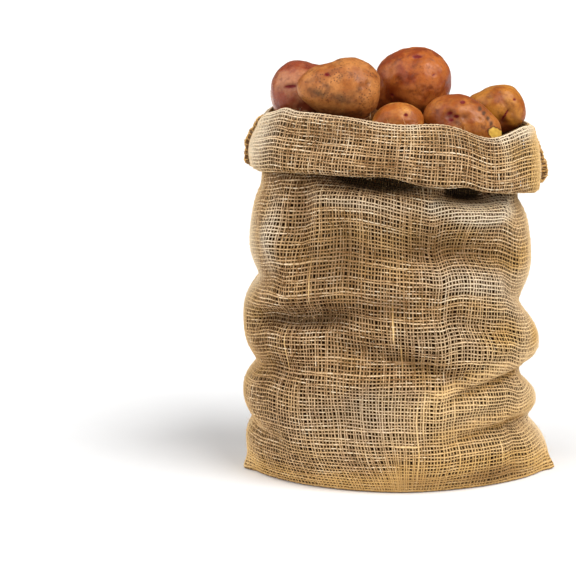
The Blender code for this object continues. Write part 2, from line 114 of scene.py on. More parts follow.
Fold = namedtuple("Fold", "turn_1 height_1 turn_2 height_2 turn_3 height_3 depth above below")
FOLDS = (
    Fold(0.600, 0.317, 0.710, 0.309, 0.800, 0.299, 0.018, 0.030, 0.008),
    Fold(0.800, 0.296, 0.860, 0.291, 0.935, 0.292, 0.020, 0.030, 0.009),
    Fold(0.900, 0.280, 1.030, 0.279, 1.200, 0.290, 0.008, 0.020, 0.012),
    Fold(0.150, 0.292, 0.270, 0.296, 0.420, 0.298, 0.009, 0.020, 0.013),
    Fold(0.400, 0.300, 0.500, 0.292, 0.600, 0.300, 0.004, 0.020, 0.012),
    Fold(0.730, 0.226, 0.840, 0.237, 0.930, 0.216, 0.014, 0.020, 0.013),
    Fold(0.890, 0.206, 0.980, 0.175, 1.130, 0.181, 0.017, 0.024, 0.018),
    Fold(0.400, 0.208, 0.510, 0.200, 0.620, 0.214, 0.014, 0.020, 0.015),
    Fold(0.545, 0.160, 0.655, 0.180, 0.790, 0.168, 0.014, 0.014, 0.013),
    Fold(0.790, 0.182, 0.850, 0.167, 0.920, 0.152, 0.006, 0.011, 0.010),
    Fold(0.780, 0.172, 0.845, 0.150, 0.915, 0.140, -0.004, 0.011, 0.013),
    Fold(0.670, 0.150, 0.760, 0.136, 0.860, 0.103, 0.009, 0.014, 0.012),
    Fold(0.810, 0.092, 0.900, 0.112, 1.060, 0.086, 0.0155, 0.012, 0.014),
    Fold(0.930, 0.110, 1.000, 0.096, 1.120, 0.104, 0.013, 0.014, 0.013),
    Fold(0.780, 0.046, 0.880, 0.061, 0.985, 0.056, 0.011, 0.013, 0.012),
    Fold(0.900, 0.062, 1.000, 0.052, 1.130, 0.060, 0.015, 0.013, 0.015),
    Fold(0.380, 0.106, 0.500, 0.112, 0.660, 0.124, 0.013, 0.016, 0.012),
    Fold(0.390, 0.056, 0.500, 0.055, 0.620, 0.044, 0.011, 0.013, 0.010),
    Fold(0.090, 0.220, 0.240, 0.230, 0.420, 0.206, 0.009, 0.018, 0.011),
    Fold(0.130, 0.172, 0.280, 0.160, 0.410, 0.170, 0.007, 0.014, 0.010),
    Fold(0.030, 0.106, 0.190, 0.124, 0.350, 0.110, 0.011, 0.014, 0.012),
    Fold(0.070, 0.056, 0.230, 0.062, 0.420, 0.050, 0.009, 0.014, 0.010),
)
# Creases finer than the solid's. A crease of less than no depth is a ridge.
CREASES = (
    Fold(0.640, 0.298, 0.735, 0.293, 0.806, 0.289, -0.0090, 0.007, 0.016),
    Fold(0.802, 0.287, 0.858, 0.276, 0.930, 0.283, -0.0110, 0.007, 0.014),
    Fold(0.550, 0.184, 0.640, 0.186, 0.710, 0.188, -0.0060, 0.014, 0.010),
    Fold(0.560, 0.166, 0.630, 0.168, 0.700, 0.174, 0.0040, 0.006, 0.008),
    Fold(0.680, 0.184, 0.740, 0.179, 0.800, 0.168, -0.0080, 0.012, 0.012),
    Fold(0.800, 0.096, 0.866, 0.112, 0.985, 0.119, -0.0050, 0.006, 0.004),
    Fold(0.810, 0.110, 0.866, 0.127, 0.985, 0.133, 0.0025, 0.006, 0.006),
    Fold(0.800, 0.052, 0.880, 0.068, 0.985, 0.066, -0.0035, 0.006, 0.005),
    Fold(0.800, 0.064, 0.880, 0.080, 0.985, 0.077, 0.0025, 0.006, 0.006),
    Fold(0.640, 0.262, 0.760, 0.258, 0.860, 0.243, 0.0020, 0.010, 0.008),
    Fold(0.560, 0.262, 0.585, 0.250, 0.620, 0.232, -0.0030, 0.014, 0.014),
    Fold(0.590, 0.268, 0.625, 0.252, 0.665, 0.228, 0.0030, 0.014, 0.012),
)
FOLD_FADE = 0.022  # the folds die out over this height under the mouth
FOLD_POWER = 1.6  # how steep a fold's sides are
LINE_POWER = 0.7  # how blunt the ends of a fold or a streak are
DEEP = 0.016  # a fold this deep counts as wholly in shade
SIDE_TURNS = 0.12  # nearer a side seam than this, the folds' shade fades

Dent = namedtuple("Dent", "turn height half_length half_height tilt depth")
DENTS = (
    Dent(0.633, 0.276, 0.013, 0.036, 0.0, 0.007),
    Dent(0.694, 0.246, 0.016, 0.026, 0.0, 0.006),
    Dent(0.812, 0.278, 0.006, 0.015, -1.5, 0.004),
    Dent(0.595, 0.250, 0.020, 0.024, 0.0, -0.004),
    Dent(0.735, 0.276, 0.045, 0.020, 0.0, -0.004),
    Dent(0.800, 0.285, 0.012, 0.014, 0.0, -0.005),
    Dent(0.820, 0.212, 0.065, 0.015, 0.0, -0.005),
    Dent(0.790, 0.150, 0.030, 0.012, -0.6, -0.003),
    Dent(0.728, 0.112, 0.045, 0.013, 0.0, -0.005),
    Dent(0.695, 0.076, 0.026, 0.022, 0.3, 0.006),
    Dent(0.870, 0.096, 0.034, 0.011, 0.3, -0.004),
    Dent(0.800, 0.036, 0.035, 0.020, 0.1, -0.003),
    Dent(0.905, 0.030, 0.010, 0.026, 1.2, 0.005),
    Dent(0.310, 0.258, 0.045, 0.022, -0.2, -0.005),
    Dent(0.190, 0.250, 0.026, 0.030, 0.4, 0.007),
    Dent(0.245, 0.142, 0.050, 0.018, 0.1, -0.005),
    Dent(0.355, 0.140, 0.022, 0.026, -0.3, 0.006),
    Dent(0.150, 0.084, 0.040, 0.018, 0.2, -0.004),
    Dent(0.300, 0.034, 0.030, 0.022, 0.0, 0.005),
)
# Dents in the cuff. One of less than no depth stands out.
CUFF_DENTS = (
    Dent(0.600, 0.335, 0.030, 0.030, 0.0, -0.0025),
    Dent(0.645, 0.342, 0.016, 0.030, 0.5, 0.0025),
    Dent(0.690, 0.322, 0.030, 0.014, 0.0, -0.0025),
    Dent(0.720, 0.345, 0.030, 0.012, 0.0, 0.0025),
    Dent(0.765, 0.335, 0.010, 0.030, 0.2, -0.0030),
    Dent(0.790, 0.322, 0.016, 0.022, 0.4, 0.0025),
    Dent(0.845, 0.330, 0.030, 0.014, -0.2, -0.0020),
    Dent(0.890, 0.325, 0.011, 0.034, 0.3, -0.0030),
    Dent(0.918, 0.318, 0.010, 0.030, 0.0, 0.0020),
    Dent(0.330, 0.335, 0.030, 0.020, 0.0, 0.0030),
    Dent(0.200, 0.330, 0.030, 0.024, 0.0, -0.0025),
)

EAR_TURNS = (0.974, 0.526)
EAR_LENGTH, EAR_TURN, EAR_HEIGHT = 0.008, 0.012, 0.011  # how far an ear stands out, its half turn and height
RIM_BEND = 0.0058  # radius of the bend at the mouth
HEM_BEND = 0.0045  # radius of the bend at the cuff's lower edge
TURNED_IN = 0.034  # how far the hidden layer goes back up inside the cuff
SEAM_TURNS = (0.0, 0.5)
SEAM_HALF = 0.0045  # half the width of a seam, as a share of a turn
SEAM_GROOVE = 0.0012  # how far a side seam draws the wall in
SEAM_RAISE = 0.0065  # how much thicker a seam makes the cuff at its lower edge. Its middle moves half as far
SEAM_TOP_SHARE = 0.3  # the share of that at the mouth

# How many points a line of the cloth has up the wall, round half the bend at the mouth, down the cuff, round
# the cuff's lower edge, and back up inside it.
WALL_POINTS, BEND_POINTS, CUFF_POINTS, HEM_POINTS, INNER_POINTS = 240, 7, 40, 11, 10

# How the cloth's look changes over it. gold is how yellow the yarns are, solid is how far they close their
# holes, pale is how bleached and how lit by painted light they are, and where it is less than 0 how much
# painted shade darkens them, and shade is how much painted shade darkens them under a fold or the cuff.
# Many streaks and patches paint light and shade on the folds. A streak runs from 1 through 2 to 3.
Streak = namedtuple(
    "Streak", "turn_1 height_1 turn_2 height_2 turn_3 height_3 half_height gold solid pale shade"
)
STREAKS = (
    Streak(0.540, 0.006, 0.840, 0.008, 1.140, 0.006, 0.013, 0.80, 1.10, -0.5, 0.10),
    # Two golden crests, partly a painted highlight where they catch the light, then painted shade under
    # each.
    Streak(0.785, 0.098, 0.866, 0.1165, 0.990, 0.1255, 0.0060, 1.00, 1.50, 0.0, 0.0),
    Streak(0.790, 0.054, 0.880, 0.0710, 1.000, 0.070, 0.0060, 1.00, 1.50, -0.15, 0.0),
    Streak(0.815, 0.092, 0.880, 0.107, 0.985, 0.113, 0.0025, 0.30, 0.20, -0.4, 0.20),
    Streak(0.815, 0.047, 0.880, 0.061, 0.975, 0.058, 0.0025, 0.30, 0.20, -0.4, 0.10),
    Streak(0.560, 0.168, 0.632, 0.170, 0.715, 0.179, 0.0050, 0.00, 0.00, -0.3, 0.25),
    Streak(0.730, 0.152, 0.784, 0.132, 0.850, 0.122, 0.0060, 0.10, 0.00, -0.4, 0.12),
    Streak(0.900, 0.222, 0.975, 0.196, 1.080, 0.196, 0.008, 0.50, 0.30, 0.1, 0.0),
    Streak(0.560, 0.192, 0.660, 0.202, 0.760, 0.192, 0.008, 0.10, 0.20, 0.3, 0.0),
    Streak(0.770, 0.226, 0.840, 0.210, 0.940, 0.184, 0.014, 0.00, 0.05, 0.35, 0.0),
    Streak(0.640, 0.264, 0.790, 0.253, 0.930, 0.224, 0.014, 0.25, 0.00, -0.3, 0.15),
    Streak(0.556, 0.170, 0.636, 0.171, 0.710, 0.176, 0.007, 0.00, 0.00, -0.2, 0.35),
    # Painted shadow in the two pockets under the cuff; a golden lip under the right one, partly a painted
    # highlight; then painted light below both pockets.
    Streak(0.660, 0.313, 0.745, 0.305, 0.795, 0.303, 0.006, 0.00, 0.00, 0.0, 2.5),
    Streak(0.828, 0.297, 0.860, 0.292, 0.892, 0.292, 0.005, 0.00, 0.00, 0.0, 2.3),
    Streak(0.800, 0.295, 0.858, 0.283, 0.920, 0.288, 0.003, 1.00, 0.80, 0.5, 0.0),
    Streak(0.620, 0.293, 0.720, 0.288, 0.800, 0.283, 0.008, 0.00, 0.00, 0.60, 0.0),
    Streak(0.790, 0.286, 0.860, 0.272, 0.950, 0.276, 0.007, 0.20, 0.00, 0.75, 0.0),
    Streak(0.560, 0.196, 0.740, 0.192, 0.940, 0.192, 0.013, 0.00, 0.00, -0.45, 0.0),
)
Patch = namedtuple("Patch", "turn height half_length half_height gold solid pale")
# Many of these patches lighten or darken the cloth through pale, as painted light and painted shade.
PATCHES = (
    Patch(0.974, 0.006, 0.024, 0.018, 0.7, 0.7, 0.0),
    Patch(0.526, 0.006, 0.024, 0.018, 0.7, 0.7, 0.0),
    Patch(0.860, 0.040, 0.170, 0.075, 0.50, 0.32, 0.20),
    Patch(0.930, 0.170, 0.090, 0.110, 0.30, 0.10, 0.40),
    Patch(0.700, 0.238, 0.075, 0.026, 0.30, 0.00, -0.30),
    Patch(0.530, 0.225, 0.030, 0.045, 0.20, 0.20, 0.80),
    Patch(0.640, 0.060, 0.080, 0.060, 0.00, 0.05, 0.15),
    Patch(0.830, 0.205, 0.070, 0.020, 0.0, 0.0, 0.25),
    Patch(0.686, 0.226, 0.040, 0.036, 0.0, 0.0, -0.55),
    Patch(0.689, 0.146, 0.018, 0.045, 0.0, 0.0, -0.45),
    Patch(0.760, 0.133, 0.045, 0.016, 0.0, 0.0, -0.50),
    Patch(0.890, 0.155, 0.025, 0.014, 0.1, 0.0, -0.40),
    Patch(0.854, 0.070, 0.050, 0.012, 0.6, 0.1, 0.10),
    Patch(0.880, 0.018, 0.034, 0.014, 0.4, 0.0, -0.75),
    Patch(0.785, 0.022, 0.036, 0.014, 0.1, 0.0, -0.45),
    Patch(0.925, 0.228, 0.022, 0.012, 0.1, 0.0, -0.60),
    Patch(0.960, 0.145, 0.014, 0.012, 0.2, 0.0, -0.50),
    Patch(0.593, 0.249, 0.014, 0.036, 0.1, 0.1, 0.90),
    Patch(0.800, 0.150, 0.050, 0.030, 0.0, 0.0, 0.3),
    Patch(0.720, 0.090, 0.050, 0.035, 0.0, 0.1, 0.4),
    Patch(0.740, 0.262, 0.050, 0.014, 0.0, 0.0, 0.4),
    Patch(0.860, 0.270, 0.030, 0.012, 0.3, 0.1, 0.3),
    Patch(0.825, 0.090, 0.030, 0.014, 0.6, 0.4, 0.1),
    Patch(0.806, 0.284, 0.012, 0.007, 0.2, 0.0, 0.7),
    Patch(0.915, 0.283, 0.016, 0.007, 0.2, 0.0, 0.7),
    Patch(0.754, 0.190, 0.024, 0.012, 0.0, 0.0, -0.6),
    Patch(0.900, 0.100, 0.060, 0.090, 0.25, 0.0, 0.0),
)
CUFF_PATCHES = (
    Patch(0.550, 0.345, 0.038, 0.045, 0.0, 0.8, 1.0),
    Patch(0.560, 0.305, 0.060, 0.014, 0.6, 0.2, 0.0),
    Patch(0.893, 0.330, 0.007, 0.040, 0.4, 0.4, 0.45),
    Patch(0.930, 0.350, 0.022, 0.012, 0.3, 0.3, 0.8),
    Patch(0.985, 0.330, 0.036, 0.060, 1.0, 0.5, 0.0),
    Patch(0.671, 0.352, 0.030, 0.016, 0.0, 0.0, -0.6),
    Patch(0.757, 0.324, 0.036, 0.016, 0.0, 0.0, -0.6),
    Patch(0.821, 0.352, 0.026, 0.014, 0.0, 0.0, -0.5),
    Patch(0.770, 0.330, 0.006, 0.040, 0.2, 0.4, 0.5),
)

# Thick places in single yarns. An upright one follows an end from low to high. One across follows a pick at
# one height for a length round the sack.
Upright = namedtuple("Upright", "turn low high swell tone gold")
UPRIGHTS = (
    Upright(0.754, 0.155, 0.178, 1.5, 1.8, 0.9),
    Upright(0.756, 0.178, 0.200, 0.6, 1.0, 0.8),
    Upright(0.762, 0.128, 0.150, 0.5, 1.0, 0.8),
    Upright(0.783, 0.012, 0.100, 1.0, 1.5, 0.9),
    Upright(0.789, 0.060, 0.106, 0.4, 0.8, 0.8),
    Upright(0.828, 0.072, 0.096, 0.7, 1.3, 0.7),
    Upright(0.830, 0.018, 0.060, 0.8, 1.3, 0.8),
    Upright(0.883, 0.026, 0.050, 0.9, 1.4, 0.8),
    Upright(0.655, 0.190, 0.235, 0.4, 0.9, 0.6),
    Upright(0.620, 0.120, 0.160, 0.5, 1.0, 0.6),
    Upright(0.250, 0.130, 0.200, 0.6, 1.2, 0.7),
    Upright(0.170, 0.040, 0.110, 0.7, 1.2, 0.7),
    Upright(0.345, 0.200, 0.250, 0.5, 1.1, 0.6),
)
Across = namedtuple("Across", "turn height half_length swell tone gold")
ACROSS = (
    Across(0.768, 0.050, 0.010, 0.8, 1.3, 0.5),
    Across(0.640, 0.226, 0.020, 0.5, 0.9, 0.2),
    Across(0.835, 0.196, 0.016, 0.5, 0.9, 0.2),
    Across(0.700, 0.140, 0.014, 0.5, 0.8, 0.2),
    Across(0.870, 0.128, 0.022, 0.5, 1.0, 0.4),
    Across(0.300, 0.200, 0.020, 0.6, 1.2, 0.4),
    Across(0.200, 0.090, 0.018, 0.6, 1.2, 0.4),
)


def around(column, turns):
    """One of the stations' columns at shares of a turn, on a smooth closed curve through the stations."""
    values = np.array([getattr(station, column) for station in STATIONS])
    place = (turns % 1.0) * len(values)
    station = np.floor(place).astype(int)
    t = place - station
    before, here, after, beyond = (values[(station + k) % len(values)] for k in (-1, 0, 1, 2))
    cubic = 3.0 * (here - after) + beyond - before
    square = 2.0 * before - 5.0 * here + 4.0 * after - beyond
    return here + 0.5 * t * (after - before + t * (square + t * cubic))


def reach(side, heights):
    """How far the sack reaches to one side at some heights, smoothly through the levels."""
    levels = np.array([level.height for level in LEVELS])
    values = np.array([getattr(level, side) for level in LEVELS])
    slopes = np.gradient(values, levels)
    heights = np.clip(heights, levels[0], levels[-1])
    i = np.minimum(np.searchsorted(levels, heights, side="right") - 1, len(levels) - 2)
    step = levels[i + 1] - levels[i]
    t = (heights - levels[i]) / step
    swing = values[i + 1] - values[i]
    a, b = slopes[i] * step - swing, swing - slopes[i + 1] * step
    return values[i] + t * swing + t * (1.0 - t) * (a * (1.0 - t) + b * t)


def turn_angles():
    """The angles of points spread evenly round the middle section, and each one's share of a turn."""
    angles = np.linspace(0.0, 2.0 * math.pi, ANGLE_STEPS)
    power = 2.0 / reach("squareness", MID_HEIGHT)
    half_wide = 0.5 * (reach("left", MID_HEIGHT) + reach("right", MID_HEIGHT))
    half_deep = 0.5 * (reach("front", MID_HEIGHT) + reach("back", MID_HEIGHT))
    x = half_wide * np.abs(np.cos(angles)) ** power * np.sign(np.cos(angles))
    y = half_deep * np.abs(np.sin(angles)) ** power * np.sign(np.sin(angles))
    lengths = np.concatenate([[0.0], np.cumsum(np.hypot(np.diff(x), np.diff(y)))])
    return angles, lengths / lengths[-1]


ANGLES, SHARES = turn_angles()


def turns_off(turns, place):
    """Signed shares of a turn from one place round the sack."""
    return ((turns - place + 0.5) % 1.0) - 0.5


def turns_away(turns, places):
    """Shares of a turn from the nearest of some places round the sack."""
    return np.min([np.abs(turns_off(turns, place)) for place in places], axis=0)


def path_height(line, turns):
    """The height of a fold's or streak's line at some turns, and each turn's share of the way along it."""
    turns = line.turn_1 + (turns - line.turn_1) % 1.0
    to_1, to_2, to_3 = turns - line.turn_1, turns - line.turn_2, turns - line.turn_3
    first, last = line.turn_2 - line.turn_1, line.turn_3 - line.turn_2
    path = line.height_1 * to_2 * to_3 / (first * (first + last))
    path -= line.height_2 * to_1 * to_3 / (first * last)
    path += line.height_3 * to_1 * to_2 / (last * (first + last))
    return path, np.clip(to_1 / (first + last), 0.0, 1.0)


def along_line(share):
    """1 in the middle of a line, falling to 0 at both its ends."""
    return np.abs(np.sin(math.pi * share)) ** LINE_POWER


def arched(arches, turns):
    """How far some arches lift an edge."""
    places = [turns_off(turns, arch.turn) * GIRTH / arch.half_length for arch in arches]
    return sum(arch.rise * np.exp(-(place**2)) for arch, place in zip(arches, places))


def rim_height(turns):
    """The height of the fold at the mouth."""
    return around("rim", turns) + arched(RIM_ARCHES, turns)


def hem_height(turns):
    """The height of the cuff's lower edge."""
    return around("hem", turns) + arched(HEM_ARCHES, turns)


def fold_depth(fold, turns, heights):
    """How far one fold draws the wall in."""
    path, share = path_height(fold, turns)
    away = np.abs(heights - path) / np.where(heights > path, fold.above, fold.below)
    return fold.depth * along_line(share) * np.exp(-(away**FOLD_POWER))


def hump(place, turns, heights, tilt=0.0):
    """1 at a patch's or dent's centre, falling away from it."""
    along = turns_off(turns, place.turn) * GIRTH
    up = heights - place.height - tilt * along
    return np.exp(-((along / place.half_length) ** 2) - (up / place.half_height) ** 2)


def folded(turns, heights):
    """How far the folds and dents alone draw the wall in."""
    depth = sum(fold_depth(fold, turns, heights) for fold in FOLDS + CREASES)
    depth = depth + sum(dent.depth * hump(dent, turns, heights, dent.tilt) for dent in DENTS)
    return depth * np.clip((rim_height(turns) - heights) / FOLD_FADE, 0.0, 1.0)


def near_seam(turns):
    """1 on a side seam, falling to 0 at its edges."""
    return np.clip(1.0 - turns_away(turns, SEAM_TURNS) / SEAM_HALF, 0.0, 1.0)


def drawn_in(turns, heights):
    """How far the folds, the dents and the side seams draw the wall in."""
    foot = np.clip(heights / EAR_HEIGHT, 0.0, 1.0)
    return (folded(turns, heights) + SEAM_GROOVE * near_seam(turns)) * foot


def ear(turns, heights):
    """How far the pointed ears at the foot of the side seams stand out."""
    away = turns_away(turns, EAR_TURNS) / EAR_TURN
    return EAR_LENGTH * np.exp(-(away**2) - (heights / EAR_HEIGHT) ** 2)


def section(turns, heights, out, lift=0.0):
    """Points of the sack's section, from arrays of turns, heights and distances out."""
    angles = np.interp(turns % 1.0, SHARES, ANGLES)
    power = 2.0 / reach("squareness", heights)
    left, right = reach("left", heights), reach("right", heights)
    front, back = reach("front", heights), reach("back", heights)
    cos, sin = np.cos(angles), np.sin(angles)
    x = 0.5 * (right - left) + (0.5 * (left + right) + out) * np.sign(cos) * np.abs(cos) ** power
    y = 0.5 * (back - front) + (0.5 * (front + back) + out) * np.sign(sin) * np.abs(sin) ** power
    return np.stack(np.broadcast_arrays(x, y, heights + lift), axis=-1) + MIDDLE


def grid_of(turns, steps):
    """Two arrays with a row for each turn and a column for each step."""
    return np.meshgrid(turns, steps, indexing="ij")


def bend_points(turns, angles):
    """Points round the bend at the mouth. Angle 0 is on the wall, and pi is on the cuff."""
    t, a = grid_of(turns, angles)
    foot = rim_height(t) - RIM_BEND
    return section(t, foot, RIM_BEND * (1.0 - np.cos(a)), RIM_BEND * np.sin(a))


def wall_lines(turns):
    """The wall from the floor to the top of the bend at the mouth: for each turn, a line of close points."""
    t, s = grid_of(turns, np.linspace(0.0, 1.0, WALL_POINTS))
    heights = s * (rim_height(t) - RIM_BEND)
    wall = section(t, heights, ear(t, heights) - drawn_in(t, heights), 0.5 * CLOTH * (1.0 - s))
    bend = bend_points(turns, np.linspace(0.0, 0.5 * math.pi, BEND_POINTS)[1:])
    return np.concatenate([wall, bend], axis=1)


def cuff_lines(turns):
    """The cuff from the top of the bend down, round its lower edge, and back up inside itself."""
    rim = bend_points(turns, np.linspace(0.5 * math.pi, math.pi, BEND_POINTS)[:-1])
    t, s = grid_of(turns, np.linspace(0.0, 1.0, CUFF_POINTS))
    bend, hem = rim_height(t) - RIM_BEND, hem_height(t) + HEM_BEND
    stand_off = around("stand_off", t)
    out = 2.0 * RIM_BEND * (1.0 - s) + stand_off * s + around("swell", t) * np.sin(math.pi * s)
    standing = SEAM_RAISE * near_seam(t) * (SEAM_TOP_SHARE + (1.0 - SEAM_TOP_SHARE) * s)
    heights = bend + (hem - bend) * s
    dents = sum(dent.depth * hump(dent, t, heights, dent.tilt) for dent in CUFF_DENTS)
    outer = section(t, heights, out + 0.5 * standing - dents * np.sin(math.pi * s) ** 0.5)
    t, a = grid_of(turns, np.linspace(0.0, math.pi, HEM_POINTS)[1:-1])
    hem, stand_off = hem_height(t) + HEM_BEND, around("stand_off", t)
    edge = section(t, hem, stand_off - HEM_BEND * (1.0 - np.cos(a)), -HEM_BEND * np.sin(a))
    t, s = grid_of(turns, np.linspace(0.0, 1.0, INNER_POINTS))
    hem, stand_off = hem_height(t) + HEM_BEND, around("stand_off", t)
    inner = section(t, hem + s * (TURNED_IN - HEM_BEND), stand_off - 2.0 * HEM_BEND)
    return np.concatenate([rim, outer, edge, inner], axis=1)


def evened(lines, count):
    """Each line's points moved to even steps along it, and each line's length."""
    steps = np.linalg.norm(np.diff(lines, axis=1), axis=2)
    along = np.concatenate([np.zeros((len(lines), 1)), np.cumsum(steps, axis=1)], axis=1)
    out = np.empty((len(lines), count, 3))
    for i, line in enumerate(lines):
        even = np.linspace(0.0, along[i, -1], count)
        for k in range(3):
            out[i, :, k] = np.interp(even, along[i], line[:, k])
    return out, along[:, -1]


TINY = 1e-12  # keeps a vector without length from being divided by 0


def unit(vectors):
    """The vectors, each with length 1."""
    return vectors / np.maximum(np.linalg.norm(vectors, axis=-1, keepdims=True), TINY)


RIGHT_SIDE_OUT, INSIDE_OUT = 1.0, -1.0


class Cloth:
    """A stretch of cloth as a fine grid of points, read at any share of its width and length."""

    COLUMNS, ROWS = 281, 300  # points of the grid across and along the cloth

    def __init__(self, lines, first_turn, last_turn, outward):
        """outward is RIGHT_SIDE_OUT or INSIDE_OUT."""
        self.first_turn, self.last_turn, self.outward = first_turn, last_turn, outward
        turns = np.linspace(first_turn, last_turn, self.COLUMNS)
        self.points, lengths = evened(lines(turns), self.ROWS)
        across, along = np.gradient(self.points, axis=0), np.gradient(self.points, axis=1)
        self.normals = unit(np.cross(across, along)) * outward
        self.width = float(np.linalg.norm(np.diff(self.points, axis=0), axis=2).sum(axis=0).mean())
        self.length = float(lengths.mean())

    def read(self, grid, u, v):
        """A grid's values at shares u of the cloth's width and v of its length."""
        u = np.clip(u, 0.0, 1.0) * (grid.shape[0] - 1)
        v = np.clip(v, 0.0, 1.0) * (grid.shape[1] - 1)
        i = np.minimum(u.astype(int), grid.shape[0] - 2)
        j = np.minimum(v.astype(int), grid.shape[1] - 2)
        a, b = (u - i)[..., None], (v - j)[..., None]
        low = grid[i, j] * (1 - a) + grid[i + 1, j] * a
        high = grid[i, j + 1] * (1 - a) + grid[i + 1, j + 1] * a
        return low * (1 - b) + high * b

    def at(self, u, v):
        """The cloth's points and normals at shares of its width and length."""
        return self.read(self.points, u, v), unit(self.read(self.normals, u, v))

    def turns(self, u):
        """The turns at shares of the cloth's width."""
        return self.first_turn + (self.last_turn - self.first_turn) * u


# ---------------- yarns as meshes


def mesh_object(name, vertices, quads, triangles):
    """A smooth mesh object from arrays of points and of their numbers in each face."""
    quads = np.asarray(quads, np.int32)
    triangles = np.asarray(triangles, np.int32).reshape(-1, 3)
    mesh = bpy.data.meshes.new(name)
    mesh.vertices.add(len(vertices))
    mesh.vertices.foreach_set("co", np.asarray(vertices, np.float32).reshape(-1))
    mesh.loops.add(quads.size + triangles.size)
    mesh.loops.foreach_set("vertex_index", np.concatenate([quads.reshape(-1), triangles.reshape(-1)]))
    sizes = np.concatenate([np.full(len(quads), 4), np.full(len(triangles), 3)]).astype(np.int32)
    starts = np.concatenate([[0], np.cumsum(sizes)[:-1]]).astype(np.int32)
    mesh.polygons.add(len(sizes))
    mesh.polygons.foreach_set("loop_start", starts)
    mesh.update(calc_edges=True)
    mesh.validate()
    mesh.shade_smooth()
    obj = bpy.data.objects.new(name, mesh)
    bpy.context.scene.collection.objects.link(obj)
    return obj


def set_floats(mesh, name, values):
    """Gives each point of a mesh a number, under a name that its material reads."""
    layer = mesh.attributes.new(name, "FLOAT", "POINT")
    layer.data.foreach_set("value", np.asarray(values, np.float32).reshape(-1))


def wandering(rng, count, length, spread, keep=0.9):
    """A slow random walk for each yarn. keep is how much of each value lasts to the next."""
    steps = rng.normal(size=(count, length))
    out = np.zeros((count, length))
    value = rng.normal(size=count)
    for j in range(length):
        value = keep * value + math.sqrt(1.0 - keep * keep) * steps[:, j]
        out[:, j] = value
    return out * spread


def flat_yarns(centres, across, normals, half_width, rise, sink):
    """Flattened yarns that lie on a cloth, closed at their ends. Each has a ridge outwards and two edges."""
    left = centres - across * half_width[..., None] - normals * sink[..., None]
    right = centres + across * half_width[..., None] - normals * sink[..., None]
    ridge = centres + normals * rise[..., None]
    ring = np.stack([left, ridge, right], axis=2)
    yarns, count = centres.shape[:2]
    index = np.arange(yarns * count * 3).reshape(yarns, count, 3)
    quads = []
    for side in range(3):
        a, b = index[:, :-1, side], index[:, :-1, (side + 1) % 3]
        c, d = index[:, 1:, (side + 1) % 3], index[:, 1:, side]
        quads.append(np.stack([a, b, c, d], axis=-1))
    ends = np.concatenate([index[:, 0, ::-1], index[:, -1, :]])
    return ring.reshape(-1, 3), np.stack(quads, axis=2).reshape(-1, 4), ends


SKEW = np.array((0.31, 0.52, 0.79))  # a direction that no yarn follows. A round yarn's sides start from it


def round_yarns(paths, radii, sides):
    """Thin round tubes along paths, an array of (yarns, points, 3), closed at their ends."""
    ahead = unit(np.gradient(paths, axis=1))
    side = unit(np.cross(ahead, SKEW))
    other = np.cross(ahead, side)
    angles = np.arange(sides) * 2.0 * math.pi / sides
    ring = side[:, :, None] * np.cos(angles)[:, None] + other[:, :, None] * np.sin(angles)[:, None]
    points = paths[:, :, None] + ring * radii[:, :, None, None]
    yarns, count = paths.shape[:2]
    index = np.arange(yarns * count * sides).reshape(yarns, count, sides)
    following = np.roll(index, -1, axis=2)
    quads = np.stack([index[:, :-1], following[:, :-1], following[:, 1:], index[:, 1:]], axis=-1)
    caps = []
    for k in range(1, sides - 1):
        caps.append(index[:, 0][:, [0, k + 1, k]])
        caps.append(index[:, -1][:, [0, k, k + 1]])
    return points.reshape(-1, 3), quads.reshape(-1, 4), np.concatenate(caps)


def joined(parts):
    """One set of points, quads and triangles from several."""
    points, quads, caps, count = [], [], [], 0
    for part_points, part_quads, part_caps in parts:
        points.append(part_points)
        quads.append(part_quads + count)
        caps.append(part_caps + count)
        count += len(part_points)
    return np.concatenate(points), np.concatenate(quads), np.concatenate(caps)


MAP_START, MAP_STOP = 0.005, 0.995  # the shares of its half of the flat map between which a strip runs
SIDES_WIDE, SIDE_GAP = 3.05, 0.06  # how many sides wide a strip is, and the gap at each edge of a side
CAP_INSET, CAP_HALF, CAP_TALL = 0.0005, 0.2, 0.0004  # where the yarns' end caps lie, and their size


def flat_map(mesh, ends, picks, counts):
    """The flat map of a woven piece: a strip for each end in its lower half, and one for each pick above."""

    def strips(yarns, points, low):
        """The corners of each face of some yarns, side by side."""
        steps = np.linspace(MAP_START, MAP_STOP, points)
        yarn, step, side = np.meshgrid(np.arange(yarns), np.arange(points - 1), np.arange(3), indexing="ij")
        x0 = (yarn + (side + SIDE_GAP) / SIDES_WIDE) / yarns
        x1 = (yarn + (side + 1.0 - SIDE_GAP) / SIDES_WIDE) / yarns
        y0, y1 = low + 0.5 * steps[step], low + 0.5 * steps[step + 1]
        return np.stack([x0, y0, x1, y0, x1, y1, x0, y1], axis=-1).reshape(-1, 2)

    parts = [strips(ends, picks + 2, 0.0), strips(picks, ends + 2, 0.5)]
    for count, yarns, low in ((counts[0], ends, 0.0), (counts[1], picks, 0.5)):
        yarn = np.tile(np.arange(yarns), count // yarns)
        x, y = (yarn + 0.5) / yarns, np.repeat([low + CAP_INSET, low + 0.5 - CAP_INSET], yarns)
        half = CAP_HALF / yarns
        parts.append(np.stack([x - half, y, x + half, y, x, y + CAP_TALL], axis=-1).reshape(-1, 2))
    layer = mesh.uv_layers.new(name="OFBake")
    layer.data.foreach_set("uv", np.concatenate(parts).astype(np.float32).reshape(-1))


RIM_HIGHLIGHT, RIM_LIT = 0.55, 0.006  # painted highlight on the fold at the mouth, and how far down it shows
HEM_SHADE, HEM_SHADED = 0.85, 0.007  # how dark the wall is right under the cuff, and how far down that shows
PANEL_HALF = 0.25  # from a side seam to the middle of a panel, as a share of a turn
